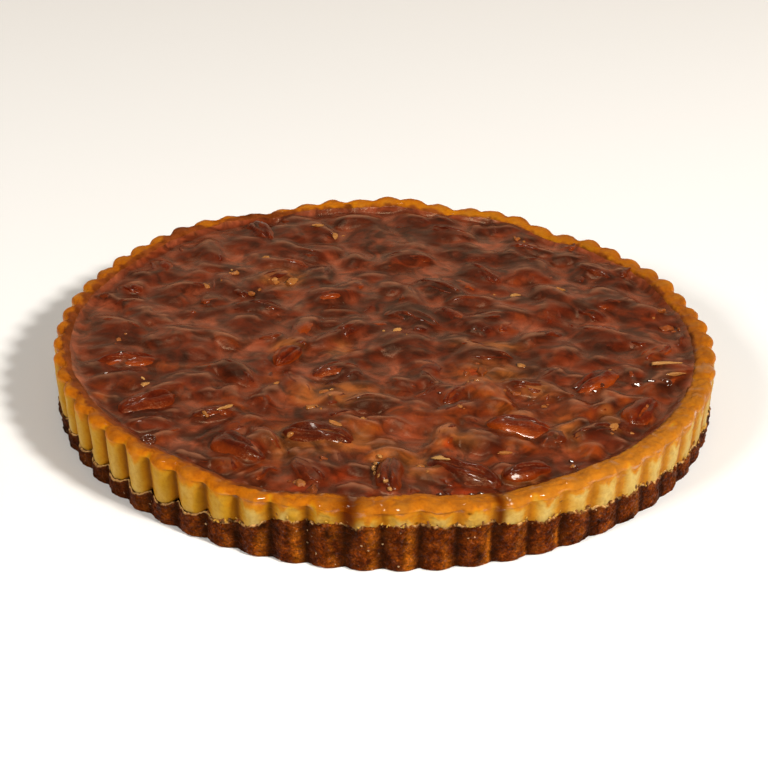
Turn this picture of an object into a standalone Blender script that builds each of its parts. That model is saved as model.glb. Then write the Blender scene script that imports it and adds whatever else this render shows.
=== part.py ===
"""A round, fluted pecan tart of 28 cm: crumb base, baked custard, caramel and pecan halves.

It rests on its flat underside, centred on the Z axis, with its front towards -Y. Angles are
measured from +X, counter-clockwise seen from above. Lengths are in metres.
"""

import math

import bmesh
import bpy
from mathutils import Euler, Matrix, Vector, noise

MM = 0.001
GAP = 0.3 * MM  # left between two pieces that touch
LIP_GAP = 2 * GAP  # along the crumb lip, whose heights change faster

# The fluted tin that shaped the outside.
TART_RADIUS = 140 * MM  # at the crests of the flutes
TART_HEIGHT = 28 * MM
FLUTE_COUNT = 63
FLUTE_DEPTH_RIM = 3.4 * MM
FLUTE_DEPTH_FOOT = 2.0 * MM
FIRST_CUSP = 276  # degrees, where two flutes meet
STEPS_PER_FLUTE = 4

# The crumb base: a floor with a side that was pressed up the tin by hand.
FOOT_EDGE = 1.6 * MM
FOOT_INSET = 3.5 * MM
FOOT_LEAN = 0.5 * MM
CRUMB_SIDE_INSET = 1.0 * MM
CRUMB_LIP_WIDTH = 7.5 * MM
CRUMB_SIDE_SLOPE = 2.5 * MM
CRUMB_FLOOR = 6.6 * MM
CRUMB_SCALLOP = 1.0 * MM  # the lip's outer edge rises between the flutes
CRUMB_LINE = (  # angle in degrees, height of the lip as a share of the tart's height
    (20, 0.32),
    (60, 0.38),
    (105, 0.33),
    (150, 0.37),
    (190, 0.31),
    (225, 0.29),
    (240, 0.38),
    (248, 0.42),
    (256, 0.65),
    (276, 0.70),
    (285, 0.61),
    (302, 0.50),
    (316, 0.43),
    (335, 0.29),
)

# The custard: it leans in towards the crumb lip, and its rim is uneven.
CUSTARD_FOOT_INSET = 2.6 * MM
CUSTARD_MID_INSET = 1.3 * MM
RIM_EDGE = 1.7 * MM
RIM_SLOPE = 3 * MM
RIM_DROP = 0.5 * MM  # how far the rim's top falls towards the caramel
RIM_SWELLS = (  # angle and half width in degrees, rise and shift outwards in mm
    (14, 5, -0.8, -0.8),
    (36, 8, -0.9, -1.0),
    (53, 7, -2.4, -3.0),
    (77, 4, -1.2, -1.2),
    (88, 5, 1.5, 0.0),
    (115, 6, -1.5, -1.8),
    (137, 8, 1.1, 0.0),
    (249, 6, -1.5, 0.0),
    (268, 4, -1.0, 0.0),
    (276, 4, 0.5, 0.0),
    (290, 7, -1.4, 0.0),
    (315, 12, -0.6, 0.0),
)

# The caramel fills the hollow inside the rim.
RIM_WIDTH = 9.2 * MM
RIM_NARROWS = (  # angle and half width in degrees, how much narrower the rim is in mm
    (122, 18, 3.4),
    (182, 30, 2.4),
    (256, 11, 3.2),
)
CARAMEL_FLOOR = 16.5 * MM
CARAMEL_FOOT_INSET = 13 * MM
CARAMEL_BELOW_RIM = 2.4 * MM
CARAMEL_LUMP = 0.7 * MM
CARAMEL_LUMP_SPACING = 24 * MM
CARAMEL_RINGS = (0.97, 0.80, 0.58, 0.32)  # shares of the hollow's radius

# A pecan half, as shares of its length, and its shape as shares of a ball of radius 1.
PECAN_WIDTH = 0.48
PECAN_HEIGHT = 0.30
PECAN_COLUMNS = 8
PECAN_ROWS = 4
SHOULDER_REACH = 0.88  # the rings near its ends sit closer in, and are broader
SHOULDER_BREADTH = 1.16
CREASE_DEPTH = 0.22
FLAT_FACE_LEVEL = -0.35
PROUD_RISE = 3.6 * MM  # how far a pecan stands out of the caramel
VEILED_RISE = 2.3 * MM
PROUD_PECANS = (  # x and y in mm, turn in degrees, length in mm, roll about the length in degrees
    (-106, -29, 5, 28, -12),
    (-93, -63, 35, 26, 14),
    (-54, -95, -42, 26, -10),
    (-25, -85, -14, 31, 10),
    (3, -112, 88, 22, -8),
    (30, -108, -32, 32, 12),
    (54, -76, -20, 30, -14),
    (102, -62, 60, 24, 20),
    (87, -38, 42, 26, -16),
    (-40, -23, 60, 18, 30),
    (-60, 101, -62, 24, 14),
    (54, -109, 14, 19, 12),
)
VEILED_PECANS = (
    (-61, -37, -50, 25, 8),
    (-85, -5, 12, 24, -14),
    (-113, 1, -25, 25, 10),
    (-20, -33, 20, 22, -10),
    (-4, -60, 5, 26, 8),
    (-66, -70, 10, 18, -18),
    (-27, -111, -55, 22, 10),
    (24, -84, 75, 20, -8),
    (82, -79, 30, 20, 14),
    (114, -13, 48, 22, -10),
    (42, -19, 0, 28, 12),
    (60, -43, -12, 24, -8),
    (28, -52, 60, 17, 16),
    (66, -1, 24, 22, -12),
    (31, 104, -32, 29, 10),
    (68, 88, -20, 24, -12),
    (44, 62, -55, 27, 8),
    (10, 76, 5, 24, -10),
    (24, 44, -35, 27, 12),
    (12, 16, -35, 29, -8),
    (44, 16, 15, 21, 10),
    (100, 34, 20, 25, -12),
    (93, 5, -30, 22, 8),
    (74, 40, -60, 24, 12),
    (96, 66, -48, 23, -8),
    (-33, 104, -45, 26, 12),
    (-103, 57, -68, 25, 10),
    (-90, 38, 20, 22, -12),
    (-52, 52, 40, 22, 14),
    (-24, 36, 15, 27, -10),
    (-56, 21, -4, 25, 8),
    (-38, 77, -25, 24, 10),
    (-82, 76, -70, 24, -14),
    (-14, 2, 50, 20, 12),
)


def material(name, colour, roughness):
    """A plain finish for one kind of piece."""
    made = bpy.data.materials.new(name)
    made.use_nodes = True
    shader = made.node_tree.nodes["Principled BSDF"]
    shader.inputs["Base Color"].default_value = (*colour, 1)
    shader.inputs["Roughness"].default_value = roughness
    return made


def new_collection(name):
    made = bpy.data.collections.new(name)
    bpy.context.scene.collection.children.link(made)
    return made


def add_object(name, bm, collection, finish=None):
    """Turns a bmesh into an object of the collection."""
    mesh = bpy.data.meshes.new(name)
    bm.to_mesh(mesh)
    bm.free()
    if finish:
        mesh.materials.append(finish)
    made = bpy.data.objects.new(name, mesh)
    collection.objects.link(made)
    return made


def swell(angle, centre, half_width):
    """1 at the centre of a swelling on the rim, fading to 0 on both sides of it."""
    away = (angle - centre + 180) % 360 - 180
    return math.exp(-((away / half_width) ** 2))


def line_height(angle, line):
    """The height at this angle of a closed line through (angle, height) points, eased between them."""
    before = max((p for p in line if p[0] <= angle), default=(line[-1][0] - 360, line[-1][1]))
    after = min((p for p in line if p[0] > angle), default=(line[0][0] + 360, line[0][1]))
    along = (angle - before[0]) / (after[0] - before[0])
    return before[1] + (after[1] - before[1]) * along * along * (3 - 2 * along)


def flute(angle):
    """0 in the cusp between two flutes, 1 on the crest of one."""
    return abs(math.sin(math.radians(FLUTE_COUNT * (angle - FIRST_CUSP) / 2)))


def rim_height(angle):
    return TART_HEIGHT + MM * sum(rise * swell(angle, at, wide) for at, wide, rise, _ in RIM_SWELLS)


def plan_radius(angle):
    """The radius of the rim's crests, which a few dents push inwards."""
    return TART_RADIUS + MM * sum(out * swell(angle, at, wide) for at, wide, _, out in RIM_SWELLS)


def wall(angle, height, inset=0.0):
    """A point of the fluted side at this height, as its radius and height."""
    share = height / TART_HEIGHT
    depth = FLUTE_DEPTH_FOOT + (FLUTE_DEPTH_RIM - FLUTE_DEPTH_FOOT) * share
    radius = TART_RADIUS + (plan_radius(angle) - TART_RADIUS) * share
    return radius - inset - depth * (1 - flute(angle)), height


def crumb_lip(angle):
    """The heights of the crumb lip's inner and outer edge, the outer one raised between flutes."""
    inner = TART_HEIGHT * line_height(angle, CRUMB_LINE)
    return inner, inner + CRUMB_SCALLOP * (0.5 - flute(angle))


def hollow_radius(angle):
    """The radius at which the caramel meets the rim."""
    narrower = sum(less * swell(angle, at, wide) for at, wide, less in RIM_NARROWS)
    return plan_radius(angle) - RIM_WIDTH + MM * narrower


def caramel_level(angle):
    return rim_height(angle) - CARAMEL_BELOW_RIM


def crumb_outline(angle):
    """The crumb base's half section: up the outside, over the lip and down to its floor."""
    inner_lip, outer_lip = crumb_lip(angle)
    return (
        (0, 0),
        (TART_RADIUS - FOOT_INSET, 0),
        wall(angle, FOOT_EDGE, CRUMB_SIDE_INSET + FOOT_LEAN),
        wall(angle, outer_lip, CRUMB_SIDE_INSET),
        (TART_RADIUS - CRUMB_LIP_WIDTH, inner_lip),
        (TART_RADIUS - CRUMB_LIP_WIDTH - CRUMB_SIDE_SLOPE, CRUMB_FLOOR),
        (0, CRUMB_FLOOR),
    )


def custard_outline(angle):
    """The custard's half section: along the crumb base, up the side, over the rim, into the hollow."""
    inner_lip, outer_lip = (height + LIP_GAP for height in crumb_lip(angle))
    rim = rim_height(angle)
    hollow = hollow_radius(angle)
    return (
        (0, CRUMB_FLOOR + GAP),
        (TART_RADIUS - CRUMB_LIP_WIDTH - CRUMB_SIDE_SLOPE - GAP, CRUMB_FLOOR + GAP),
        (TART_RADIUS - CRUMB_LIP_WIDTH - GAP, inner_lip),
        wall(angle, outer_lip, CUSTARD_FOOT_INSET),
        wall(angle, (outer_lip + rim) / 2, CUSTARD_MID_INSET),
        wall(angle, rim - RIM_EDGE),
        wall(angle, rim, RIM_EDGE),
        (hollow + RIM_SLOPE, rim - RIM_DROP),
        (hollow, caramel_level(angle)),
        (TART_RADIUS - CARAMEL_FOOT_INSET, CARAMEL_FLOOR),
        (0, CARAMEL_FLOOR),
    )


def caramel_outline(angle):
    """The caramel's half section: along the hollow's floor, up its side, then in over a lumpy top."""
    edge = hollow_radius(angle) - GAP
    top = []
    for share in CARAMEL_RINGS:
        radius = share * edge
        turned = Matrix.Rotation(math.radians(angle), 3, "Z") @ Vector((radius, 0, 0))
        lump = CARAMEL_LUMP * noise.noise(turned / CARAMEL_LUMP_SPACING)
        level = TART_HEIGHT + (caramel_level(angle) - TART_HEIGHT) * share
        top.append((radius, level - CARAMEL_BELOW_RIM * (1 - share) + lump))
    floor = CARAMEL_FLOOR + GAP
    foot = TART_RADIUS - CARAMEL_FOOT_INSET - GAP
    centre = (0, TART_HEIGHT - CARAMEL_BELOW_RIM)
    return ((0, floor), (foot, floor), (edge, caramel_level(angle)), *top, centre)


def revolve(outline, coarse):
    """Spins an outline round Z in fine steps and moves every copy to the outline of its own angle.

    The stations named in coarse keep one point to a flute, because no flute shows on them.
    """
    bm = bmesh.new()
    station = bm.verts.layers.int.new("station")
    chain = []
    for index, (radius, height) in enumerate(outline(0)):
        vert = bm.verts.new((radius, 0, height))
        vert[station] = index
        chain.append(vert)
    edges = [bm.edges.new(pair) for pair in zip(chain, chain[1:])]
    steps = FLUTE_COUNT * STEPS_PER_FLUTE
    axis = (0, 0, 1)
    bmesh.ops.spin(
        bm, geom=chain + edges, cent=(0, 0, 0), axis=axis, angle=math.tau, steps=steps, use_merge=True
    )
    rows = {}
    for vert in bm.verts:
        step = round(math.atan2(vert.co.y, vert.co.x) / math.tau * steps) % steps
        on_axis = vert.co.xy.length < MM / 100
        angle = FIRST_CUSP + step * 360 / steps
        radius, height = outline(angle % 360)[vert[station]]
        turn = math.radians(angle)
        vert.co = (radius * math.cos(turn), radius * math.sin(turn), height)
        if vert[station] in coarse and not on_axis:
            rows.setdefault((vert[station], step // STEPS_PER_FLUTE), []).append((step, vert))
    merged = {}
    for row in rows.values():
        row.sort(key=lambda entry: entry[0])
        merged.update({vert: row[0][1] for _, vert in row[1:]})
    bmesh.ops.weld_verts(bm, targetmap=merged)
    bmesh.ops.remove_doubles(bm, verts=bm.verts, dist=MM / 1000)
    bmesh.ops.recalc_face_normals(bm, faces=bm.faces)
    bmesh.ops.triangulate(bm, faces=bm.faces, quad_method="SHORT_EDGE")
    return bm


def pecan_half(length):
    """A pecan half on its flat face, along X: an oval dome of two lobes with a crease between them."""
    bm = bmesh.new()
    upright = Matrix.Rotation(math.pi / 2, 4, "Y")
    bmesh.ops.create_uvsphere(
        bm, u_segments=PECAN_COLUMNS, v_segments=PECAN_ROWS, radius=1, matrix=upright
    )
    for vert in bm.verts:
        along, across, up = vert.co
        if 0.1 < abs(along) < 0.9:
            along *= SHOULDER_REACH
            across *= SHOULDER_BREADTH
            up *= SHOULDER_BREADTH
        to_crest = min(abs(across), 1 - abs(across))
        up *= 1 - CREASE_DEPTH * ((1 - abs(across)) ** 2 - to_crest)
        vert.co = (along, across, max(up, FLAT_FACE_LEVEL))
    bottom = min(vert.co.z for vert in bm.verts)
    top = max(vert.co.z for vert in bm.verts)
    size = Vector((length / 2, length * PECAN_WIDTH / 2, length * PECAN_HEIGHT / (top - bottom)))
    bmesh.ops.scale(bm, vec=size, verts=bm.verts)
    return bm


def add_pecan(name, place, rise, tart, cutters, finish):
    """Sets a pecan half into the caramel, with its top at this rise, and the cutter of its pocket."""
    x, y, turn, length, roll = place
    pose = Euler((math.radians(roll), 0, math.radians(turn)))
    pecan = add_object(name, pecan_half(length * MM), tart, finish)
    pecan.rotation_euler = pose
    top = max((pose.to_matrix() @ vert.co).z for vert in pecan.data.vertices)
    centre = Vector((x * MM, y * MM, TART_HEIGHT - CARAMEL_BELOW_RIM + rise - top))
    pecan.location = centre
    pocket = add_object(f"pocket_{name}", pecan_half(length * MM), cutters)
    size = pecan.dimensions
    pocket.scale = [(side + 2 * GAP) / side for side in size]
    pocket.location = centre
    pocket.rotation_euler = pose
    pocket.hide_render = True
    pocket.display_type = "WIRE"


def cut_pockets(caramel, cutters):
    cut = caramel.modifiers.new("pecan pockets", "BOOLEAN")
    cut.operation = "DIFFERENCE"
    cut.solver = "EXACT"
    cut.operand_type = "COLLECTION"
    cut.collection = cutters


def build_tart():
    tart = new_collection("Pecan_Tart")
    cutters = new_collection("Cutters")
    crumb = material("brown crumb crust", (0.11, 0.035, 0.010), 0.85)
    custard = material("baked custard", (0.62, 0.34, 0.08), 0.50)
    caramel = material("caramel", (0.13, 0.030, 0.012), 0.25)
    pecan = material("glazed pecan", (0.24, 0.060, 0.012), 0.25)

    add_object("crumb_base", revolve(crumb_outline, coarse=(1, 4, 5)), tart, crumb)
    add_object("custard_layer", revolve(custard_outline, coarse=(1, 2, 7, 8, 9)), tart, custard)
    every_ring = range(1, 3 + len(CARAMEL_RINGS))
    topping = add_object("caramel_topping", revolve(caramel_outline, every_ring), tart, caramel)

    risen = [(place, PROUD_RISE) for place in PROUD_PECANS]
    risen += [(place, VEILED_RISE) for place in VEILED_PECANS]
    for number, (place, rise) in enumerate(risen, start=1):
        add_pecan(f"pecan_{number:02d}", place, rise, tart, cutters, pecan)
    cut_pockets(topping, cutters)


for old in list(bpy.data.objects):
    bpy.data.objects.remove(old)
build_tart()
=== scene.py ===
# %% [markdown]
# A pecan tart, dressed for the camera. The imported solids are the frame: a brown crumb base, a baked
# custard layer, a caramel topping and the pecan halves set in it. This script keeps their sizes and
# places, and gives every one of them the fine surface that the real food has.

# %% Load the frame
import math

import bpy
import numpy as np
from mathutils import Matrix, Vector, noise
from mathutils.bvhtree import BVHTree


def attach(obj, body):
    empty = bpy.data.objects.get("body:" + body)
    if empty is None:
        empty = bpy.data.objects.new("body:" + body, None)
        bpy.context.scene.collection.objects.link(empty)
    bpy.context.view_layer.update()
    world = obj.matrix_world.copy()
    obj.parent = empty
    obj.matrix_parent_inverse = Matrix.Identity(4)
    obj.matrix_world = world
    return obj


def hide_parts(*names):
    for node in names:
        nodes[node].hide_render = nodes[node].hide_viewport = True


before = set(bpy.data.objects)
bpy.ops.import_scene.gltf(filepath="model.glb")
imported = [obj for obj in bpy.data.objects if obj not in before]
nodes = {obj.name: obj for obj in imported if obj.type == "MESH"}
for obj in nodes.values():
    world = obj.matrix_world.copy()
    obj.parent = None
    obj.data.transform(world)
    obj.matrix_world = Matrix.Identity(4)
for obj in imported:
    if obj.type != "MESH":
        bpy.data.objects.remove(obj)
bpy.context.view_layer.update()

MM = 0.001
pecan_names = sorted(name for name in nodes if name.startswith("pecan_"))
print(f"the frame has {len(nodes)} solids, {len(pecan_names)} of them pecan halves")

# %% [markdown]
# The tart was baked in a fluted tin, so its outside follows one rule all the way round: 63 shallow
# arcs that meet in sharp cusps. The rim sank and swelled a little in the oven, and the crumb crust
# was pressed up the tin by hand, highest at the front. These few values describe all of that. They
# are the ones that shape the solids, so that the fine surface lies where the solids are.

# %% The tin, the rim and the crumb line
TART_RADIUS = 140 * MM
TART_HEIGHT = 28 * MM
FLUTE_COUNT = 63
FLUTE_DEPTH_RIM = 3.4 * MM
FLUTE_DEPTH_FOOT = 2.0 * MM
FIRST_CUSP = 276  # degrees, where two flutes meet
CUSP_ROUND = 0.18  # how far a cusp is rounded, as a share of the flute's depth
RIM_SOFTENS = 0.25  # how much of the flutes' depth the rim lost in the oven
FRONT_SOFTENS = 0.35  # and how much more of it under the caramel at the front
FRONT_FROM = 238  # degrees, where the side stops being clean and starts to be soaked
FRONT_TO = 358
FRONT_FADE = 14
SHALLOW = (325, 32, 0.5)  # where the flutes came out shallow: angle, half width, how much
RIM_SWELLS = (  # angle and half width in degrees, rise and shift outwards in mm
    (14, 5, -0.8, -0.8),
    (36, 8, -0.9, -1.0),
    (53, 7, -2.4, -3.0),
    (77, 4, -1.2, -1.2),
    (88, 5, 1.5, 0.0),
    (115, 6, -1.5, -1.8),
    (137, 8, 1.1, 0.0),
    (249, 6, -1.5, 0.0),
    (268, 4, -1.0, 0.0),
    (276, 4, 0.5, 0.0),
    (290, 7, -1.4, 0.0),
    (315, 12, -0.6, 0.0),
)
CRUMB_LINE = (  # angle in degrees, height of the crumb lip as a share of the tart's height
    (20, 0.32),
    (60, 0.38),
    (105, 0.33),
    (150, 0.37),
    (190, 0.31),
    (225, 0.29),
    (240, 0.38),
    (248, 0.42),
    (256, 0.65),
    (276, 0.70),
    (285, 0.61),
    (302, 0.50),
    (316, 0.43),
    (335, 0.29),
)
RIM_WIDTH = 9.2 * MM
RIM_NARROWS = (  # angle and half width in degrees, how much narrower the rim is in mm
    (122, 18, 3.4),
    (182, 30, 2.4),
    (256, 11, 3.2),
)
CARAMEL_BELOW_RIM = 2.4 * MM


def swell(angle, centre, half_width):
    """1 at the centre of a swelling on the rim, fading to 0 on both sides of it."""
    away = (angle - centre + 180) % 360 - 180
    return np.exp(-((away / half_width) ** 2))


def at_front(angle):
    """1 along the front, where caramel ran over the rim, fading to 0 some way round."""
    return np.clip(np.minimum(angle - FRONT_FROM, FRONT_TO - angle) / FRONT_FADE, 0, 1)


def flute(angle):
    """0 in the cusp between two flutes, 1 on the crest of one."""
    wave = np.sin(np.radians(FLUTE_COUNT * (angle - FIRST_CUSP) / 2))
    rounded = np.sqrt(wave**2 + CUSP_ROUND**2) - CUSP_ROUND
    return rounded / (math.sqrt(1 + CUSP_ROUND**2) - CUSP_ROUND)


def rim_height(angle):
    return TART_HEIGHT + MM * sum(rise * swell(angle, at, wide) for at, wide, rise, _ in RIM_SWELLS)


def plan_radius(angle):
    return TART_RADIUS + MM * sum(out * swell(angle, at, wide) for at, wide, _, out in RIM_SWELLS)


def hollow_radius(angle):
    """The radius at which the caramel meets the rim."""
    narrower = sum(less * swell(angle, at, wide) for at, wide, less in RIM_NARROWS)
    return plan_radius(angle) - RIM_WIDTH + MM * narrower


def crumb_height(angle):
    """The height of the crumb lip, eased from one point of its line to the next."""
    at, share = np.array(CRUMB_LINE + ((CRUMB_LINE[0][0] + 360, CRUMB_LINE[0][1]),)).T
    turned = np.where(angle < at[0], angle + 360, angle)
    after = np.clip(np.searchsorted(at, turned, side="right"), 1, len(at) - 1)
    along = (turned - at[after - 1]) / (at[after] - at[after - 1])
    eased = along * along * (3 - 2 * along)
    return TART_HEIGHT * (share[after - 1] + (share[after] - share[after - 1]) * eased)


def wall_radius(angle, height, inset):
    """The radius of the fluted side at this height."""
    share = height / TART_HEIGHT
    depth = FLUTE_DEPTH_FOOT + (FLUTE_DEPTH_RIM - FLUTE_DEPTH_FOOT) * share
    front = at_front(angle)
    depth = depth * (1 - SHALLOW[2] * swell(angle, *SHALLOW[:2]))
    depth = depth * (1 - (RIM_SOFTENS + FRONT_SOFTENS * front) * share ** (4 - 2 * front))
    radius = TART_RADIUS + (plan_radius(angle) - TART_RADIUS) * share
    return radius - inset - depth * (1 - flute(angle))


print(f"{FLUTE_COUNT} flutes, {2 * math.pi * TART_RADIUS / FLUTE_COUNT / MM:.1f} mm wide each")

# %% [markdown]
# Three small helpers do what a hand would do at the mesh. A turned shape starts as one point, is
# extruded along its outline, and is spun round the middle. Its points are then moved all at once as
# numbers, which is how the flutes, the dents and the crumbs get their exact places. Grain, the
# unevenness of anything baked, is Perlin noise read at each point.


# %% Helpers for meshes
def clear_selection():
    if bpy.context.object and bpy.context.object.mode != "OBJECT":
        bpy.ops.object.mode_set(mode="OBJECT")
    bpy.ops.object.select_all(action="DESELECT")


def positions(piece):
    flat = np.empty(len(piece.data.vertices) * 3)
    piece.data.vertices.foreach_get("co", flat)
    return flat.reshape(-1, 3)


def set_positions(piece, points):
    piece.data.vertices.foreach_set("co", np.ascontiguousarray(points, dtype=np.float32).ravel())
    piece.data.update()


def set_attribute(piece, name, values):
    """Keeps one number at each point of the mesh for its material to read."""
    layer = piece.data.attributes.new(name, "FLOAT", "POINT")
    layer.data.foreach_set("value", np.clip(values, 0, 1).astype(np.float32))


def grain(points, size, octaves=1, seed=0):
    """Noise from -1 to 1 whose lumps are about this size in metres."""
    offset = Vector((7.3 * seed, 1.9 * seed, 4.1 * seed))
    if octaves == 1:
        return np.array([noise.noise(Vector(p) / size + offset) for p in points.tolist()])
    return np.array(
        [noise.fractal(Vector(p) / size + offset, 1.0, 2.0, octaves) for p in points.tolist()]
    )


def turn_on_axis(name, outline, spokes):
    """Extrudes a point along the outline in the XZ plane and spins it round Z."""
    clear_selection()
    bpy.ops.mesh.primitive_plane_add(size=MM, location=(0, 0, 0))
    piece = bpy.context.object
    piece.name = piece.data.name = name
    bpy.ops.object.mode_set(mode="EDIT")
    bpy.ops.mesh.merge(type="CENTER")
    place = Vector((0, 0, 0))
    for index, (radius, height) in enumerate(outline):
        move = Vector((radius, 0, height)) - place
        place += move
        if index == 0:
            bpy.ops.transform.translate(value=move)
        else:
            bpy.ops.mesh.extrude_region_move(TRANSFORM_OT_translate={"value": move})
    bpy.ops.mesh.select_all(action="SELECT")
    bpy.ops.mesh.spin(steps=spokes, angle=math.tau, center=(0, 0, 0), axis=(0, 0, 1))
    bpy.ops.mesh.select_all(action="SELECT")
    bpy.ops.mesh.remove_doubles(threshold=MM / 1000)
    bpy.ops.mesh.normals_make_consistent(inside=False)
    bpy.ops.object.mode_set(mode="OBJECT")
    bpy.ops.object.shade_smooth()
    return piece


def stations(piece, outline):
    """For each point its angle in degrees and which point of the outline it came from."""
    x, y, z = positions(piece).T
    radius = np.hypot(x, y)
    angle = np.degrees(np.arctan2(y, x)) % 360
    line = np.array(outline)
    away = (radius[:, None] - line[:, 0]) ** 2 + (z[:, None] - line[:, 1]) ** 2
    return angle, away.argmin(axis=1)


def from_polar(angle, radius, height):
    turn = np.radians(angle)
    return np.stack([radius * np.cos(turn), radius * np.sin(turn), height], axis=1)


def dress(piece, slot, *replaced):
    """Says what the piece stands for and which body it moves with. The slot is not used."""
    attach(piece, "root")
    if replaced:
        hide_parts(*replaced)
    return piece


# %% [markdown]
# Now the finishes. Colours are written as the hex values that a paint program shows, and one
# function turns them to the linear light that the shader works with. Patterns are given in
# millimetres of the real thing: a noise texture at scale 1 repeats about once a metre, so a grain
# of 2 mm is scale 500.


# %% Helpers for materials
def linear(hex_colour):
    """An sRGB hex colour as linear red, green, blue and alpha."""
    parts = [int(hex_colour[i : i + 2], 16) / 255 for i in (0, 2, 4)]
    return (*(p / 12.92 if p <= 0.04045 else ((p + 0.055) / 1.055) ** 2.4 for p in parts), 1)


def per_mm(size):
    """A texture's scale for a pattern of this size in millimetres."""
    return 1000 / size


def add(tree, kind, links=(), stops=(), **settings):
    """Adds a node, sets its properties and sockets, and links outputs into its inputs."""
    node = tree.nodes.new("ShaderNode" + kind)
    for name, value in settings.items():
        socket = name.replace("_", " ")
        if hasattr(node, name):
            setattr(node, name, value)
        else:
            node.inputs[socket].default_value = value
    for name, output in dict(links).items():
        tree.links.new(output, node.inputs[name])
    for index, (at, colour) in enumerate(stops):
        marks = node.color_ramp.elements
        mark = marks[index] if index < 2 else marks.new(at)
        mark.position = at
        mark.color = linear(colour) if isinstance(colour, str) else (colour, colour, colour, 1)
    return node


def new_material(name, **settings):
    """A Principled material and its tree, shader and object coordinates."""
    made = bpy.data.materials.new(name)
    made.use_nodes = True
    tree = made.node_tree
    shader = tree.nodes["Principled BSDF"]
    for key, value in settings.items():
        shader.inputs[key.replace("_", " ")].default_value = value
    coords = add(tree, "TexCoord").outputs["Object"]
    return made, tree, shader, coords


# %% [markdown]
# The custard is a baked egg and cream cheese filling. Where it touched the tin it stayed pale and
# set smooth, with a few pits. Where it met the hot air it browned: the whole top of the rim is
# orange, and the brown runs down the outside in uneven tongues. The mesh says how browned each
# point is, and the material turns that into colour and into gloss, because caramel wets the rim.

# %% Baked custard
def finish_custard():
    # Baked egg custard: an opaque, fine-grained paste with a satin skin. The eye gets a soft broad
    # gloss, cream to yellow where the tin shielded it, and orange where it browned or took caramel.
    made, tree, shader, coords = new_material(
        "baked_custard_satin",
        Roughness=0.45,
        IOR=1.42,
        Specular_IOR_Level=0.06,
        Specular_Tint=linear("FFB850"),
        Coat_Roughness=0.07,
    )
    browned = add(tree, "Attribute", attribute_name="browned").outputs["Fac"]
    painted_shade_and_marks = add(tree, "Attribute", attribute_name="painted_shade_and_marks").outputs["Fac"]
    # This attribute carries the custard's creamy tone and painted highlights: pale stripes on the flutes'
    # crests and a paler right side.
    cream_and_painted_highlight = add(tree, "Attribute", attribute_name="cream_and_painted_highlight").outputs["Fac"]
    film = add(tree, "Attribute", attribute_name="film").outputs["Fac"]
    drip = add(tree, "Attribute", attribute_name="drip").outputs["Fac"]
    wet = add(tree, "Attribute", attribute_name="wet").outputs["Fac"]
    blotch = add(tree, "TexNoise", {"Vector": coords}, Scale=per_mm(7), Detail=5, Roughness=0.65)
    speck = add(tree, "TexNoise", {"Vector": coords}, Scale=per_mm(1.5), Detail=3, Roughness=0.7)
    nudge = add(tree, "MapRange", {"Value": blotch.outputs["Fac"]}, To_Min=-0.3, To_Max=0.3)
    level = add(
        tree, "Math", {0: browned, 1: nudge.outputs[0]}, operation="ADD", use_clamp=True
    )
    pale = add(tree, "MixRGB", {"Fac": cream_and_painted_highlight}, Color1=linear("A67A1C"), Color2=linear("B89E5A"))
    baked = add(
        tree,
        "ValToRGB",
        {"Fac": level.outputs[0]},
        stops=[(0.0, "AC8018"), (0.3, "B47C14"), (0.6, "B46E0C"), (0.85, "AC600A"), (1.0, "84440A")],
    )
    paler = add(tree, "MapRange", {"Value": cream_and_painted_highlight}, To_Max=0.45)
    golden = add(
        tree,
        "MixRGB",
        {"Fac": paler.outputs[0], "Color1": baked.outputs["Color"]},
        Color2=linear("B07A2A"),
    )
    lightly = add(tree, "MapRange", {"Value": level.outputs[0]}, From_Max=0.45)
    toned = add(
        tree,
        "MixRGB",
        {"Fac": lightly.outputs[0], "Color1": pale.outputs["Color"], "Color2": golden.outputs["Color"]},
    )
    pitted = add(
        tree, "ValToRGB", {"Fac": speck.outputs["Fac"]}, stops=[(0.32, "B07A30"), (0.55, "FFFFFF")]
    )
    mottled = add(
        tree,
        "MixRGB",
        {"Color1": toned.outputs["Color"], "Color2": pitted.outputs["Color"]},
        blend_type="MULTIPLY",
        Fac=0.25,
    )
    # Painted shade in the cusps, near the crumb line and round the right side darkens the colour here,
    # together with the custard's pits and blotches.
    shade_and_marks_mixed = add(
        tree, "MixRGB", {"Fac": painted_shade_and_marks, "Color1": mottled.outputs["Color"]}, Color2=linear("402204")
    )
    syrup = add(
        tree, "ValToRGB", {"Fac": blotch.outputs["Fac"]}, stops=[(0.38, "4E1E0A"), (0.62, "783A1A")]
    )
    filmed = add(
        tree,
        "MixRGB",
        {"Fac": film, "Color1": shade_and_marks_mixed.outputs["Color"], "Color2": syrup.outputs["Color"]},
    )
    stained = add(
        tree, "MixRGB", {"Fac": drip, "Color1": filmed.outputs["Color"]}, Color2=linear("481400")
    )
    bump = add(tree, "Bump", {"Height": speck.outputs["Fac"]}, Strength=0.25, Distance=0.4 * MM)
    tree.links.new(stained.outputs["Color"], shader.inputs["Base Color"])
    tree.links.new(wet, shader.inputs["Coat Weight"])
    tree.links.new(bump.outputs["Normal"], shader.inputs["Normal"])
    return made


custard_finish = finish_custard()
print("made", custard_finish.name)

# %% [markdown]
# The custard's outside is one turned shape. Its outline has a point every half millimetre or so up
# the side, a tight round over the rim's edge, and a soft slope down to the caramel. After the spin
# each ring of points is moved to its flute. No two flutes came out of the tin alike, so each gets a
# small swelling of its own, which fades to nothing at the cusps. Caramel boiled over the rim in a
# few places: it stains the rim's inner half, and two drips of it run down the front.

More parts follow.
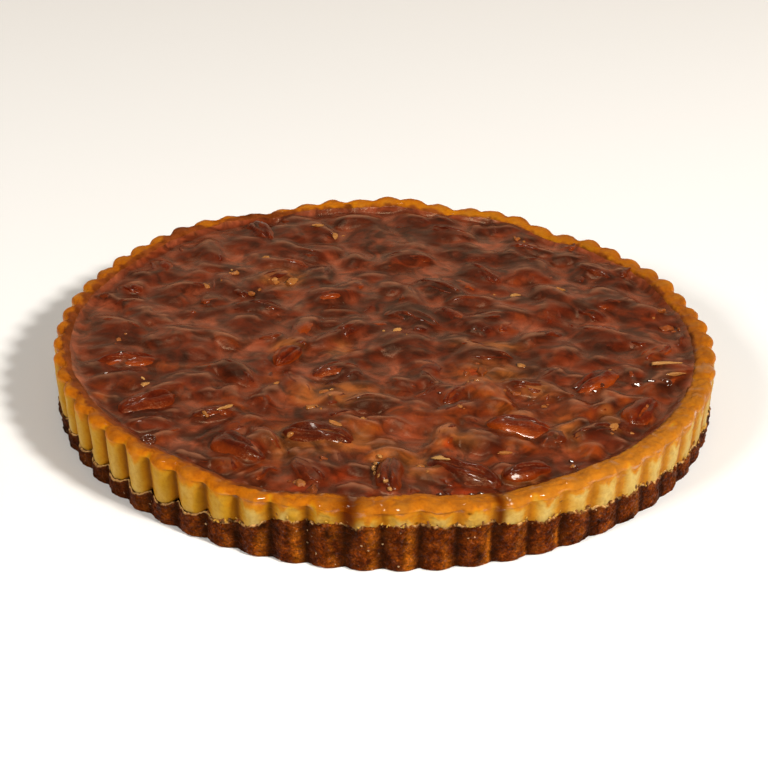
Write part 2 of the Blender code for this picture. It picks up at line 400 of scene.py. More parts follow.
# %% Values of the custard layer
SPOKES_PER_FLUTE = 20
SIDE_RINGS = 30
EDGE_RINGS = 8
TOP_RINGS = 14
SLOPE_RINGS = 6
CRUMB_SCALLOP = 2.2 * MM
LIP_GAP = 0.1 * MM
FINGER_ROUND = 1.3 * MM  # how much higher the custard ends between two flutes
CUSTARD_FOOT_INSET = 1.3 * MM
CUSTARD_ROUND = 0.5 * MM  # how far the foot of the side curls in over the crumb
RIM_EDGE = 2.4 * MM
FLUTE_VARIETY = 0.45 * MM
DRIPS = (  # angle and half width in degrees, height of the lowest point in mm
    (265.2, 1.9, 14.0),
    (288.2, 1.1, 14.5),
)
PITS = ((275.4, 20.0), (283.2, 23.5), (298.6, 20.5))  # angle in degrees, height in mm
OVERFLOWS = (  # angle and half width in degrees, how far caramel spread over the rim in mm
    (118, 6, 3.5),
    (137, 4, 6.0),
    (200, 50, 2.6),
    (253, 9, 2.2),
)
RIM_SPREAD = (264, 16, 3.6)  # where the rim spread in over the caramel: angle, half width, mm
random_numbers = np.random.default_rng(7)
flute_swell = random_numbers.uniform(-1, 1, FLUTE_COUNT)
flute_rise = random_numbers.uniform(-1, 1, FLUTE_COUNT)
flute_sag = random_numbers.uniform(-1, 1, FLUTE_COUNT)
flute_tone = random_numbers.uniform(0, 1, FLUTE_COUNT)


def of_flute(angle, values):
    """Each flute's own value, fading to 0 at its cusps."""
    number = np.floor((angle - FIRST_CUSP) * FLUTE_COUNT / 360).astype(int) % FLUTE_COUNT
    return values[number] * flute(angle)


def along_rim(angle, size, octaves, seed):
    """Noise that changes only with the angle, with lumps of this size."""
    return grain(from_polar(angle, TART_RADIUS + 0 * angle, 0 * angle), size, octaves, seed)


def crumb_lip(angle):
    """Where the crumbs end: scalloped by the flutes, and ragged where caramel soaked the front."""
    front = at_front(angle)
    points_up = (1 - flute(angle)) ** 1.5 - 0.35
    lip = crumb_height(angle) + CRUMB_SCALLOP * points_up * (1 - 0.9 * front)
    lip += 1.3 * MM * front * along_rim(angle, 11 * MM, 2, seed=23)
    lip -= 0.8 * MM * swell(angle, 203, 14)
    return lip + (0.4 + 1.0 * front) * MM * along_rim(angle, 3.2 * MM, 4, seed=21)


def drip_share(angle, height):
    """1 in the middle of a drip, 0 off it. A drip gets narrower towards its end."""
    share = np.zeros_like(angle)
    for at, wide, lowest in DRIPS:
        taper = np.clip((height / MM - lowest) / 9, 0.02, 1) ** 0.5
        share = np.maximum(share, swell(angle, at, wide * taper) * (height > lowest * MM))
    return share


def film_edge(angle):
    """The radius that the caramel reached on the rim."""
    spread = sum(far * swell(angle, at, wide) for at, wide, far in OVERFLOWS)
    spread -= RIM_SPREAD[2] * swell(angle, *RIM_SPREAD[:2])
    ragged = 1.5 * along_rim(angle, 8 * MM, 3, seed=22)
    return hollow_radius(angle) + MM * (0.4 - 0.2 * at_front(angle) + spread + ragged)


# %% [markdown]
# The rings are now moved to their places: the side up to the rim's edge, the edge over in a quarter
# round, the top, and the slope that goes under the caramel. What the eye should see at each point
# is kept with the mesh as numbers: how browned, creamy, stained and wet it is, and where shade and
# highlights are painted into its colour.

# %% Shape of the custard layer
def shape_custard():
    # The plain outline: two hidden points, then the side, the edge, the top and the slope.
    side = [(TART_RADIUS, 12 * MM + 14 * MM * k / SIDE_RINGS) for k in range(SIDE_RINGS + 1)]
    edge = [(TART_RADIUS - 0.2 * MM * k, 26.5 * MM) for k in range(1, EDGE_RINGS + 1)]
    top = [(TART_RADIUS - 2 * MM - 0.5 * MM * k, 27 * MM) for k in range(1, TOP_RINGS + 1)]
    slope = [(TART_RADIUS - 10 * MM - 0.5 * MM * k, 26 * MM) for k in range(1, SLOPE_RINGS + 1)]
    hidden_low = [(0, 8 * MM), (TART_RADIUS - 12 * MM, 8 * MM), (TART_RADIUS - 8 * MM, 11 * MM)]
    hidden_high = [(TART_RADIUS - 14 * MM, 18 * MM), (0, 17 * MM)]
    outline = hidden_low + side + edge + top + slope + hidden_high
    piece = turn_on_axis("custard_wall", outline, FLUTE_COUNT * SPOKES_PER_FLUTE)
    angle, station = stations(piece, outline)
    first_side = len(hidden_low)
    first_edge = first_side + len(side)
    first_top = first_edge + len(edge)
    first_slope = first_top + len(top)
    first_hidden = first_slope + len(slope)

    front = at_front(angle)
    fingers = FINGER_ROUND * (1 - flute(angle)) ** 2 * (1 - front)
    lip = crumb_lip(angle) + LIP_GAP + fingers - (0.5 + 0.5 * front) * MM
    rim = rim_height(angle) - 0.3 * MM
    rim = rim + 0.4 * MM * of_flute(angle, flute_rise)
    level = rim_height(angle) - CARAMEL_BELOW_RIM
    hollow = hollow_radius(angle)
    up = np.clip((station - first_side) / SIDE_RINGS, 0, 1)
    around = np.clip((station - first_edge + 1) / EDGE_RINGS, 0, 1)
    inward = np.clip((station - first_top + 1) / TOP_RINGS, 0, 1)
    down = np.clip((station - first_slope + 1) / SLOPE_RINGS, 0, 1)

    height = lip + (rim - RIM_EDGE - lip) * up
    lean = CUSTARD_FOOT_INSET * (1 - 0.6 * front) * (1 - up) ** 1.5
    above_lip = height - lip
    curl = CUSTARD_ROUND * np.exp(-((above_lip / (0.8 * MM)) ** 1.5)) * (1 - 0.8 * front)
    bulge = FLUTE_VARIETY * of_flute(angle, flute_swell) * np.sin(math.pi * np.clip(up, 0.05, 1))
    radius = wall_radius(angle, height, lean + curl) - FLUTE_VARIETY + bulge
    side_top = wall_radius(angle, rim - RIM_EDGE, 0) - FLUTE_VARIETY
    # Over the edge in a quarter round, then inwards while the flutes fade away.
    turn = around * math.pi / 2
    on_edge = (station >= first_edge) & (station < first_top)
    cusp_dip = (0.7 - 0.4 * front) * MM * (1 - flute(angle))
    radius = np.where(on_edge, side_top - RIM_EDGE * (1 - np.cos(turn)), radius)
    edge_height = rim - RIM_EDGE + RIM_EDGE * np.sin(turn) - cusp_dip * around
    height = np.where(on_edge, edge_height, height)
    on_top = (station >= first_top) & (station < first_slope)
    outer = side_top - RIM_EDGE
    inner = hollow + (2.2 - RIM_SPREAD[2] * swell(angle, *RIM_SPREAD[:2])) * MM
    straight = plan_radius(angle) - RIM_EDGE - 2.2 * MM
    ahead = outer + (inner - outer) * inward
    ahead_plain = straight + (inner - straight) * inward
    fade = np.clip(inward * 2.2, 0, 1)
    radius = np.where(on_top, ahead + (ahead_plain - ahead) * fade * (1 - inward), radius)
    top_height = rim - cusp_dip * (1 - inward) ** 2 - 0.5 * MM * inward**2
    height = np.where(on_top, top_height, height)
    on_slope = (station >= first_slope) & (station < first_hidden)
    slope_turn = down * math.pi / 2
    radius = np.where(on_slope, inner - 3.2 * MM * np.sin(slope_turn), radius)
    slope_height = rim - 0.5 * MM - (rim - 0.5 * MM - level + 1.5 * MM) * (1 - np.cos(slope_turn))
    height = np.where(on_slope, slope_height, height)

    points = from_polar(angle, radius, height)
    # Hidden points keep clear of the crumb base and of the caramel.
    hidden = (
        (0, 0, 7.2 * MM),
        (1, TART_RADIUS - 10.6 * MM, 7.2 * MM),
        (2, TART_RADIUS - 8.2 * MM, None),
        (first_hidden, TART_RADIUS - 14 * MM, 17 * MM),
        (first_hidden + 1, 0, 17 * MM),
    )
    for at, out, high in hidden:
        here = station == at
        high = crumb_height(angle[here]) + LIP_GAP if high is None else np.full(here.sum(), high)
        points[here] = from_polar(angle[here], np.full(here.sum(), out), high)

    shown = (station >= first_side) & (station < first_hidden)
    on_side = up[shown] < 1
    uneven = grain(points[shown], 7 * MM, 2, seed=1) * (0.45 + 0.25 * front[shown]) * MM
    uneven += grain(points[shown], 2.2 * MM, 2, seed=2) * (0.18 + 0.2 * front[shown]) * MM
    away = np.zeros_like(points[shown])
    away[:, 2] = np.minimum(uneven, 0.25 * MM) * ~on_side
    flat_out = from_polar(angle[shown], np.ones(shown.sum()), np.zeros(shown.sum()))
    dents = -np.abs(uneven) * on_side
    drip = drip_share(angle[shown], points[shown][:, 2])
    dents = dents * (1 - drip) + 0.35 * MM * drip * on_side
    away[:, :2] += flat_out[:, :2] * dents[:, None]
    points[shown] += away
    set_positions(piece, points)

    depth_below = rim - height
    tongues = grain(from_polar(angle, radius, height * 0.3), 5 * MM, 3, seed=3)
    reach = (1.6 + 0.4 * front) * MM
    uneven_reach = (3.0 + 2.0 * front) * MM * tongues
    browned = 1.0 - (depth_below - reach - uneven_reach) / (4.5 * MM)
    browned = np.maximum(browned, 0.75 * (1 - of_flute(angle, flute_tone * 0 + 1)) * (up < 1))
    inner_pale = swell(angle, 62, 34) * inward * 0.35
    set_attribute(piece, "browned", np.clip(browned, 0, 1) * (1 - inner_pale) * 0.9)
    # Painted shade: the cusps between flutes and the custard just above the crumb line are darkened.
    cusp_shade = (1 - flute(angle)) ** 1.8 * (up < 1) * 0.85
    crumb_line_shade = np.exp(-np.clip(above_lip, 0, 1) / (0.8 * MM)) * (station < first_edge)
    pits = sum(
        np.exp(-(((angle - at) / 0.35) ** 2) - ((height / MM - high) / 0.6) ** 2)
        for at, high in PITS
    )
    soaked = front * (1 - swell(angle, 252, 15))
    shade = np.maximum(cusp_shade * (1 - 0.6 * soaked), crumb_line_shade * 0.5 * (1 - front))
    # Just above the crumb line at the front the custard is darker in blotches.
    front_low_blotches = np.clip(0.55 + 1.8 * grain(points, 2.5 * MM, 2, seed=6), 0, 1) * front
    front_low_blotches = 0.9 * front_low_blotches * np.exp(-np.clip(above_lip, 0, 1) / (1.5 * MM)) * (station < first_edge)
    shade = np.maximum(shade, front_low_blotches)
    # The pits are the custard's own dark marks; the small rise round 340 degrees is painted shade where the
    # light falls brightest.
    shade = np.maximum(shade, pits) + 0.12 * swell(angle, 340, 16)
    set_attribute(piece, "painted_shade_and_marks", shade)
    # Paler and creamier towards the right: partly the custard's own tone, partly painted light from the
    # right.
    right = 0.9 * swell(angle, 315, 38)
    low = np.exp(-np.clip(above_lip, 0, 1) / (1.8 * MM)) * front * np.clip(0.7 + 1.6 * tongues, 0, 1)
    # Painted highlight: a pale stripe down the crest of each flute.
    flute_crest_highlight = of_flute(angle, 0.5 + 0.5 * flute_tone) ** 2 * np.clip(0.7 + 1.5 * tongues, 0, 1)
    set_attribute(piece, "cream_and_painted_highlight", right + 0.5 * tongues * right + flute_crest_highlight + low * (station < first_edge))
    patches = grain(points, 3.0 * MM, 2, seed=4)
    film = 0.5 + (film_edge(angle) - radius) / (1.6 * MM) + 0.8 * patches
    stain = 0.36 * np.clip((plan_radius(angle) - 1.5 * MM - radius) / (5 * MM), 0, 1)
    stain = stain * (1 - 0.7 * front) * (1 - 0.8 * swell(angle, 90, 40))
    film = np.maximum(np.clip(film, 0, 1) * 0.92, stain) * (station >= first_edge)
    set_attribute(piece, "film", film)
    set_attribute(piece, "drip", 0.92 * drip_share(angle, height))
    streaks = grain(from_polar(angle, TART_RADIUS + 0 * angle, height * 3), 4 * MM, 2, seed=5)
    wet = np.clip(5.0 * streaks - 0.9, 0, 1) * (0.15 + 0.85 * front) * (browned > 0.4)
    wet = wet * np.clip((up - 0.75) / 0.2, 0, 1)
    set_attribute(piece, "wet", wet)
    piece.data.materials.append(custard_finish)
    return dress(piece, "custard", "custard_layer")


custard_wall = shape_custard()
print("custard wall:", len(custard_wall.data.polygons), "faces")
# %% [markdown]
# The crust is crushed biscuit bound with butter and baked dark. Up close it is all crumbs: lumps of
# two to three millimetres with finer grit between them. The lumps are real relief, worked out from
# noise at each point of a turned wall. The grit is finer than the mesh and is left to the material.

# %% Dark biscuit crumb
def finish_crumb():
    # Crushed biscuit soaked with butter and caramel: every grain has its own brown, painted shade makes
    # the hollows between them nearly black, a few pale specks are painted glints, and the fat makes a
    # few grains shine.
    made, tree, shader, coords = new_material(
        "dark_biscuit_crumb",
        Roughness=0.6,
        IOR=1.45,
        Specular_IOR_Level=0.08,
        Specular_Tint=linear("FFB060"),
        Coat_Roughness=0.2,
    )
    lip = add(tree, "Attribute", attribute_name="lip").outputs["Fac"]
    # The toasted attribute carries painted light: a lit strip on one side of each flute and thin lit lines
    # in a few valleys.
    toasted = add(tree, "Attribute", attribute_name="toasted").outputs["Fac"]
    # hollow carries painted shade in the hollows, the cusps, one side of each flute, the ledge and the
    # far-left side, together with burns and soaking.
    hollow = add(tree, "Attribute", attribute_name="hollow").outputs["Fac"]
    lumps = add(tree, "TexNoise", {"Vector": coords}, Scale=per_mm(5), Detail=5, Roughness=0.7)
    grit = add(tree, "TexVoronoi", {"Vector": coords}, Scale=per_mm(0.65))
    fine = add(tree, "TexNoise", {"Vector": coords}, Scale=per_mm(0.7), Detail=3, Roughness=0.7)
    grain_tone = add(tree, "SeparateColor", {"Color": grit.outputs["Color"]})
    crumb = add(
        tree,
        "ValToRGB",
        {"Fac": lumps.outputs["Fac"]},
        stops=[(0.32, "220902"), (0.45, "441803"), (0.57, "632A07"), (0.72, "7E4012")],
    )
    with_strip_and_seam_light = add(
        tree, "MixRGB", {"Fac": toasted, "Color1": crumb.outputs["Color"]}, Color2=linear("AE6010")
    )
    grains = add(
        tree,
        "ValToRGB",
        {"Fac": grain_tone.outputs["Red"]},
        stops=[(0.0, 0.4), (0.5, 0.85), (0.9, 1.25), (1.0, 1.9)],
    )
    grainy = add(
        tree,
        "MixRGB",
        {"Color1": with_strip_and_seam_light.outputs["Color"], "Color2": grains.outputs["Color"]},
        blend_type="MULTIPLY",
        Fac=0.75,
    )
    dark = add(
        tree, "MixRGB", {"Fac": hollow, "Color1": grainy.outputs["Color"]}, Color2=linear("1A0802")
    )
    edge = add(tree, "MixRGB", {"Fac": lip, "Color1": dark.outputs["Color"]}, Color2=linear("D0A468"))
    # Painted highlights: a few pale specks stand for small glints on the wet crumbs.
    painted_glints = add(
        tree, "MapRange", {"Value": grain_tone.outputs["Blue"]}, From_Min=0.9965, From_Max=0.9985, To_Max=0.5
    )
    glint_specked = add(
        tree, "MixRGB", {"Fac": painted_glints.outputs[0], "Color1": edge.outputs["Color"]}, Color2=linear("D8B488")
    )
    bump = add(tree, "Bump", {"Height": grit.outputs["Distance"]}, Strength=0.5, Distance=0.3 * MM)
    rough = add(
        tree,
        "Bump",
        {"Height": fine.outputs["Fac"], "Normal": bump.outputs["Normal"]},
        Strength=0.6,
        Distance=0.4 * MM,
    )
    greasy = add(
        tree, "MapRange", {"Value": grain_tone.outputs["Green"]}, From_Min=0.88, From_Max=0.94, To_Max=0.4
    )
    open_side = add(tree, "Math", {1: hollow}, {}, operation="SUBTRACT", use_clamp=True)
    open_side.inputs[0].default_value = 1
    shiny = add(tree, "Math", {0: greasy.outputs[0], 1: open_side.outputs[0]}, operation="MULTIPLY")
    tree.links.new(glint_specked.outputs["Color"], shader.inputs["Base Color"])
    tree.links.new(shiny.outputs[0], shader.inputs["Coat Weight"])
    tree.links.new(rough.outputs["Normal"], shader.inputs["Normal"])
    return made


crumb_finish = finish_crumb()
print("made", crumb_finish.name)

# %% [markdown]
# The crust's wall is spun like the custard's, with a rounded foot and a ledge that runs in under the
# custard. Pressed crumbs creep up the tin, so the outermost ring stands as a thin, broken, dry edge.
# Its low side is painted with a lit strip on one side of each flute and shadow on the other, it is
# burnt in a few spots, and painted shade darkens its valleys, hollows, ledge and far-left side.

# %% Shape of the crumb crust
CRUMB_SPOKES_PER_FLUTE = 28
CRUMB_RINGS = 38
LIP_RINGS = 9
LIP_STANDS = 0.5 * MM  # how far the thin edge that the tin drew up stands over the ledge
FOOT_RINGS = 4
CRUMB_SIDE_INSET = 1.0 * MM
CRUMB_RELIEF = 0.65 * MM
FOOT_ROUND = 0.6 * MM
SEAMS = (286.5, 292.5, 298.1)  # degrees, where a thin line of painted light runs down the valley between two flutes
BURNS = (  # angle and height in mm, half widths in degrees and mm
    (285.0, 5.0, 0.8, 2.5),
    (286.4, 12.5, 0.5, 2.0),
    (252.0, 14.0, 1.2, 2.5),
    (262.0, 15.0, 0.6, 2.5),
    # The wide one at 200 degrees is painted shade along the far-left foot.
    (200.0, 1.0, 9.0, 5.0),
    (304.0, 1.5, 1.8, 2.0),
    (313.0, 1.0, 1.6, 2.0),
)


def shape_crumb():
    foot = [(TART_RADIUS - 4 * MM + 0.5 * MM * k, 0) for k in range(FOOT_RINGS + 1)]
    side = [(TART_RADIUS, 1 * MM + 10 * MM * k / CRUMB_RINGS) for k in range(CRUMB_RINGS + 1)]
    lip = [(TART_RADIUS - 0.6 * MM * k, 12 * MM) for k in range(1, LIP_RINGS + 1)]
    hidden = [(TART_RADIUS - 11 * MM, 8 * MM), (0, 8 * MM)]
    outline = [(0, 0)] + foot + side + lip + hidden
    piece = turn_on_axis("crumb_wall", outline, FLUTE_COUNT * CRUMB_SPOKES_PER_FLUTE)
    angle, station = stations(piece, outline)
    first_side = 1 + len(foot)
    first_lip = first_side + len(side)
    first_hidden = first_lip + len(lip)
    front = at_front(angle)
    top = crumb_lip(angle)
    up = np.clip((station - first_side) / CRUMB_RINGS, 0, 1)
    inward = np.clip((station - first_lip + 1) / LIP_RINGS, 0, 1)
    under = np.clip((station - 1) / (FOOT_RINGS + 1), 0, 1)

    height = FOOT_ROUND + (top - 0.5 * MM - FOOT_ROUND) * up
    inset = CRUMB_SIDE_INSET * (1 - 0.7 * front) + 0.25 * MM
    radius = wall_radius(angle, height, inset)
    on_foot = station < first_side
    curve = under * math.pi / 2
    low = wall_radius(angle, FOOT_ROUND + 0 * angle, inset)
    radius = np.where(on_foot, low - FOOT_ROUND + FOOT_ROUND * np.sin(curve), radius)
    height = np.where(on_foot, FOOT_ROUND * (1 - np.cos(curve)), height)
    on_lip = (station >= first_lip) & (station < first_hidden)
    outer = wall_radius(angle, top, inset)
    reach_in = (outer - TART_RADIUS + 7.5 * MM) * inward**1.6
    radius = np.where(on_lip, outer - 0.2 * MM - reach_in, radius)
    inner_top = crumb_height(angle) - LIP_STANDS * (1 - front)
    behind = np.clip((inward - 1.5 / LIP_RINGS) * LIP_RINGS / 1.5, 0, 1)
    ledge = top + (inner_top - top) * inward - LIP_STANDS * (1 - front) * behind * (1 - inward)
    height = np.where(on_lip, ledge, height)
    points = from_polar(angle, radius, height)
    middle = TART_RADIUS - 10 * MM
    for at, out, high in ((0, 0, 0), (first_hidden, middle, 6.6 * MM), (first_hidden + 1, 0, 6.6 * MM)):
        here = station == at
        points[here] = from_polar(angle[here], np.full(here.sum(), out), np.full(here.sum(), high))

    side_points = (station > 1) & (station < first_hidden)
    rough = points[side_points]
    relief = 0.55 * grain(rough, 3.4 * MM, 1, seed=11) + 0.85 * grain(rough, 1.4 * MM, 3, seed=12)
    relief = CRUMB_RELIEF * np.clip(relief, -1.4, 0.6)
    share = under[side_points] * (1 - inward[side_points])
    out = from_polar(angle[side_points], relief * share, np.zeros(len(relief)))
    ragged = along_rim(angle, 1.6 * MM, 3, seed=13)
    out[:, 2] = (0.6 * MM * ragged * np.clip((up - 0.85) / 0.15, 0, 1))[side_points]
    points[side_points] += out
    points[:, 2] = np.maximum(points[:, 2], 0)
    set_positions(piece, points)

    on_edge = station == first_lip
    patchy = along_rim(angle, 5 * MM, 2, seed=15)
    broken = np.clip(0.85 - 0.7 * front + 1.6 * ragged + 1.2 * patchy, 0, 1)
    set_attribute(piece, "lip", (on_edge + 0.4 * (station == first_lip - 1)) * broken)
    phase = ((angle - FIRST_CUSP) * FLUTE_COUNT / 360) % 1
    number = np.floor((angle - FIRST_CUSP) * FLUTE_COUNT / 360).astype(int) % FLUTE_COUNT
    patches = grain(from_polar(angle, radius, height), 6 * MM, 3, seed=14)
    # Painted light: a lit strip on the right-hand side of each flute, strongest low down and at the front.
    strip = np.exp(-(((phase - 0.74) / 0.16) ** 2)) * (0.35 + 0.65 * flute_tone[number])
    strip = strip * (0.35 + 0.65 * swell(angle, 270, 18))
    seams = sum(np.exp(-(((angle - at) / 0.45) ** 2)) for at in SEAMS)
    strip = np.maximum(strip, 0.9 * seams)
    low_side = np.clip(1.15 - 0.7 * height / (top + 1e-9), 0, 1)
    set_attribute(piece, "toasted", strip * np.clip(0.7 + 1.4 * patches, 0, 1) * low_side)
    # Painted shade: the hollows between the lumps are darkened.
    recess_shade = np.zeros(len(points))
    recess_shade[side_points] = np.clip(-relief / CRUMB_RELIEF - 0.15, 0, 1)
    # Painted shade in the cusps between flutes, and a painted shadow down one side of each flute.
    cusp = (1 - flute(angle)) ** 1.6 * 0.85
    shadow_side = 0.75 * np.clip(1 - phase / 0.45, 0, 1) * np.clip(0.5 + 1.5 * patches, 0, 1)
    burnt = sum(
        np.exp(-(((angle - at) / wide) ** 2) - ((height / MM - high) / tall) ** 2)
        for at, high, wide, tall in BURNS
    )
    soaked = drip_share(angle, height + 6 * MM) * 0.8
    # The ledge under the custard is darker: partly painted shade, partly the dark crumbs that lie there.
    ledge_shade_and_crumbs = 0.6 * (inward >= 1.5 / LIP_RINGS) * (1 - front)
    # Painted shade: the left side is darkened.
    left_side_shade = 0.65 * swell(angle, 205, 28)
    shade_burns_and_soaking = np.stack([recess_shade * 0.8, cusp, shadow_side, burnt * 0.95, soaked, ledge_shade_and_crumbs])
    shade_burns_and_soaking = np.maximum(shade_burns_and_soaking.max(axis=0), left_side_shade) * (1 - 0.8 * seams)
    # The attribute named hollow holds this painted shade together with the burns and the soaking.
    set_attribute(piece, "hollow", shade_burns_and_soaking)
    piece.data.materials.append(crumb_finish)
    return dress(piece, "crumb_crust", "crumb_base")


crumb_wall = shape_crumb()
print("crumb wall:", len(crumb_wall.data.polygons), "faces")

# %% [markdown]
# Where the crust meets the custard at the front, it broke up when the tart left its tin. Crumbs of
# both stick along the line between them. Each is a ball of few faces, pulled out of round by noise.
# They are strewn at random along the crumb line.

# %% Loose crumbs on the line between crust and custard
LOOSE_FROM, LOOSE_TO = 242, 356  # degrees


def strew_crumbs(name, count, finish, slot, seed, largest, spread):
    dice = np.random.default_rng(seed)
    made = []
    for number in range(count):
        angle = np.array([dice.uniform(LOOSE_FROM, LOOSE_TO)])
        height = crumb_lip(angle) + dice.normal(0, spread) * MM
        radius = wall_radius(angle, height, (1.2 + dice.uniform(-0.2, 0.5)) * MM)
        size = dice.uniform(0.35, largest) * np.array([1.4, 1, 0.8]) * MM
        clear_selection()
        bpy.ops.mesh.primitive_ico_sphere_add(subdivisions=2, radius=1)
        piece = bpy.context.object
        ball = positions(piece)
        ball *= 1 + 0.45 * grain(ball, 0.9, 2, seed=number % 19)[:, None]
        turns = Matrix.Rotation(math.radians(angle[0] + 90), 3, "Z") @ Matrix.Rotation(
            dice.uniform(0, 3), 3, "Y"
        )
        ball = (ball * size) @ np.array(turns).T
        set_positions(piece, ball + from_polar(angle, radius, height))
        made.append(piece)
    clear_selection()
    for piece in made:
        piece.select_set(True)
    bpy.context.view_layer.objects.active = made[0]
    bpy.ops.object.join()
    joined = bpy.context.object
    joined.name = joined.data.name = name
    count_points = len(joined.data.vertices)
    for attribute, value in (("cream_and_painted_highlight", 0.5), ("browned", 0.15), ("lip", 0.14)):
        set_attribute(joined, attribute, np.full(count_points, value))
    joined.data.materials.append(finish)
    print(name, len(made), "crumbs,", len(joined.data.polygons), "faces")
    return dress(joined, slot)


pale_crumbs = strew_crumbs("pale_crumbs", 170, custard_finish, "custard", 51, 0.6, 0.6)
dark_crumbs = strew_crumbs("dark_crumbs", 200, crumb_finish, "crumb_crust", 52, 0.75, 0.7)

# %% [markdown]
# A shelled pecan half is a long oval dome. A deep crease runs down its middle, each of the two lobes
# has a shallower furrow beside it, and the skin is wrinkled along its length. The flat face has a
# wide trough. One is sculpted from a sphere with its poles at the nut's ends, and every nut in the
# topping is a copy with its own wrinkles, turned and sized to fill its solid.

# %% Glazed pecan skin
def finish_pecan():
    # Candied pecan skin: thin, papery and wrinkled under a hard clear sugar coat. The eye gets deep
    # red-brown with small sharp lights, darker in the furrows, amber where light passes the flanks.
    made, tree, shader, coords = new_material(
        "glazed_pecan_skin",
        Roughness=0.3,
        IOR=1.47,
        Specular_IOR_Level=0.3,
        Specular_Tint=linear("FFC890"),
        Coat_Weight=0.3,
        Coat_Roughness=0.12,
    )
    furrow = add(tree, "Attribute", attribute_name="furrow").outputs["Fac"]
    tint = add(tree, "Attribute", attribute_name="tint").outputs["Fac"]
    flank = add(tree, "Attribute", attribute_name="flank").outputs["Fac"]
    skin = add(tree, "TexNoise", {"Vector": coords}, Scale=per_mm(6), Detail=5, Roughness=0.65)
    wrinkle = add(tree, "TexNoise", {"Vector": coords}, Scale=per_mm(1.2), Detail=3, Roughness=0.6)
    dull = add(
        tree,
        "ValToRGB",
        {"Fac": skin.outputs["Fac"]},
        stops=[(0.3, "320C03"), (0.5, "4A1606"), (0.7, "60260C")],
    )
    bright = add(
        tree,
        "ValToRGB",
        {"Fac": skin.outputs["Fac"]},
        stops=[(0.3, "440F04"), (0.5, "601A05"), (0.7, "7A2C08")],
    )
    base = add(
        tree,
        "MixRGB",
        {"Fac": tint, "Color1": dull.outputs["Color"], "Color2": bright.outputs["Color"]},
    )
    # Painted light: the flanks are painted amber, as if lit through.
    amber = add(tree, "Math", {0: flank, 1: tint}, operation="MULTIPLY")
    glowing = add(
        tree, "MixRGB", {"Fac": amber.outputs[0], "Color1": base.outputs["Color"]}, Color2=linear("943C08")
    )
    creased = add(
        tree, "MixRGB", {"Fac": furrow, "Color1": glowing.outputs["Color"]}, Color2=linear("2E0602")
    )
    bump = add(tree, "Bump", {"Height": wrinkle.outputs["Fac"]}, Strength=0.8, Distance=0.4 * MM)
    tree.links.new(creased.outputs["Color"], shader.inputs["Base Color"])
    tree.links.new(bump.outputs["Normal"], shader.inputs["Normal"])
    return made


pecan_finish = finish_pecan()
print("made", pecan_finish.name)

# %% [markdown]
# The nut is modelled once, as a function of its sizes. Points are shrunk and lifted by smooth
# rules: a fuller oval, a crease, two furrows, wrinkles along the nut, and a hollow flat face.

# %% Sculpting a pecan half
def sculpt_pecan(
    name, length, width, height, seed, tint, creased=1.0, flat=1.0, rough=1.0, segments=40, rings=26
):
    """A pecan half along X with its dome up, resting on z = 0 at its flat face."""
    clear_selection()
    bpy.ops.mesh.primitive_uv_sphere_add(
        segments=segments, ring_count=rings, radius=1, rotation=(0, math.pi / 2, 0)
    )
    piece = bpy.context.object
    piece.name = piece.data.name = name
    bpy.ops.object.transform_apply(location=False, rotation=True, scale=False)
    bpy.ops.object.shade_smooth()
    x, y, z = positions(piece).T
    own = np.random.default_rng(seed)
    # A fuller oval than a ball's, blunter at one end.
    shrink = np.sqrt(np.clip(1 - x * x, 1e-9, 1))
    full = np.clip(1 - np.abs(x) ** 2.5, 0, 1) ** 0.55
    scale = np.where(shrink > 1e-4, full / np.maximum(shrink, 1e-4), 1)
    y, z = y * scale, z * scale
    y = y * (1 - 0.10 * x)
    bend = own.uniform(-0.10, 0.10)
    spot = np.stack([x * 1.3, y * 4.5, z * 2], axis=1)
    wrinkles = grain(spot, 1.0, 3, seed=seed % 17)
    across = np.where(full > 1e-3, y / np.maximum(full, 1e-3), 0)
    wavy = 0.05 * np.sin(5 * x + own.uniform(0, 6))
    crease = np.exp(-(((across + wavy) / 0.13) ** 2)) * np.clip(1.15 - x * x, 0, 1)
    side_furrow = np.exp(-(((np.abs(across + wavy) - 0.58) / 0.09) ** 2)) * np.clip(1 - x * x, 0, 1)
    domed = z > 0
    sunk = creased * (0.34 * crease + 0.07 * side_furrow)
    z = np.where(domed, np.abs(z) ** flat, z)
    lift = np.where(domed, 1 - sunk + 0.10 * rough * wrinkles, 1)
    z = np.where(domed, z * lift, z * 0.35)
    z = np.where(~domed, z * (1 - 0.5 * np.exp(-((across / 0.4) ** 2))), z)
    y = y + bend * (1 - x * x)
    dents = grain(np.stack([x, y, z], axis=1), 0.9, 2, seed=seed % 23)
    y, z = y * (1 + 0.16 * rough * dents), z * (1 + 0.12 * rough * dents)
    span = z.max() - z.min()
    points = np.stack([x * length / 2, y * width / 2, (z - z.min()) / span * height], axis=1)
    set_positions(piece, points)
    furrow = np.where(domed, np.clip(crease * 0.9 + side_furrow * 0.5 - wrinkles * 0.5, 0, 1), 0.2)
    set_attribute(piece, "furrow", furrow)
    # Painted light: the flanks are marked to be painted amber, as if lit through.
    set_attribute(piece, "flank", np.clip((np.abs(across) - 0.55) / 0.4, 0, 1) * 0.9)
    set_attribute(piece, "tint", np.full(len(points), tint))
    piece.data.materials.append(pecan_finish)
    return piece


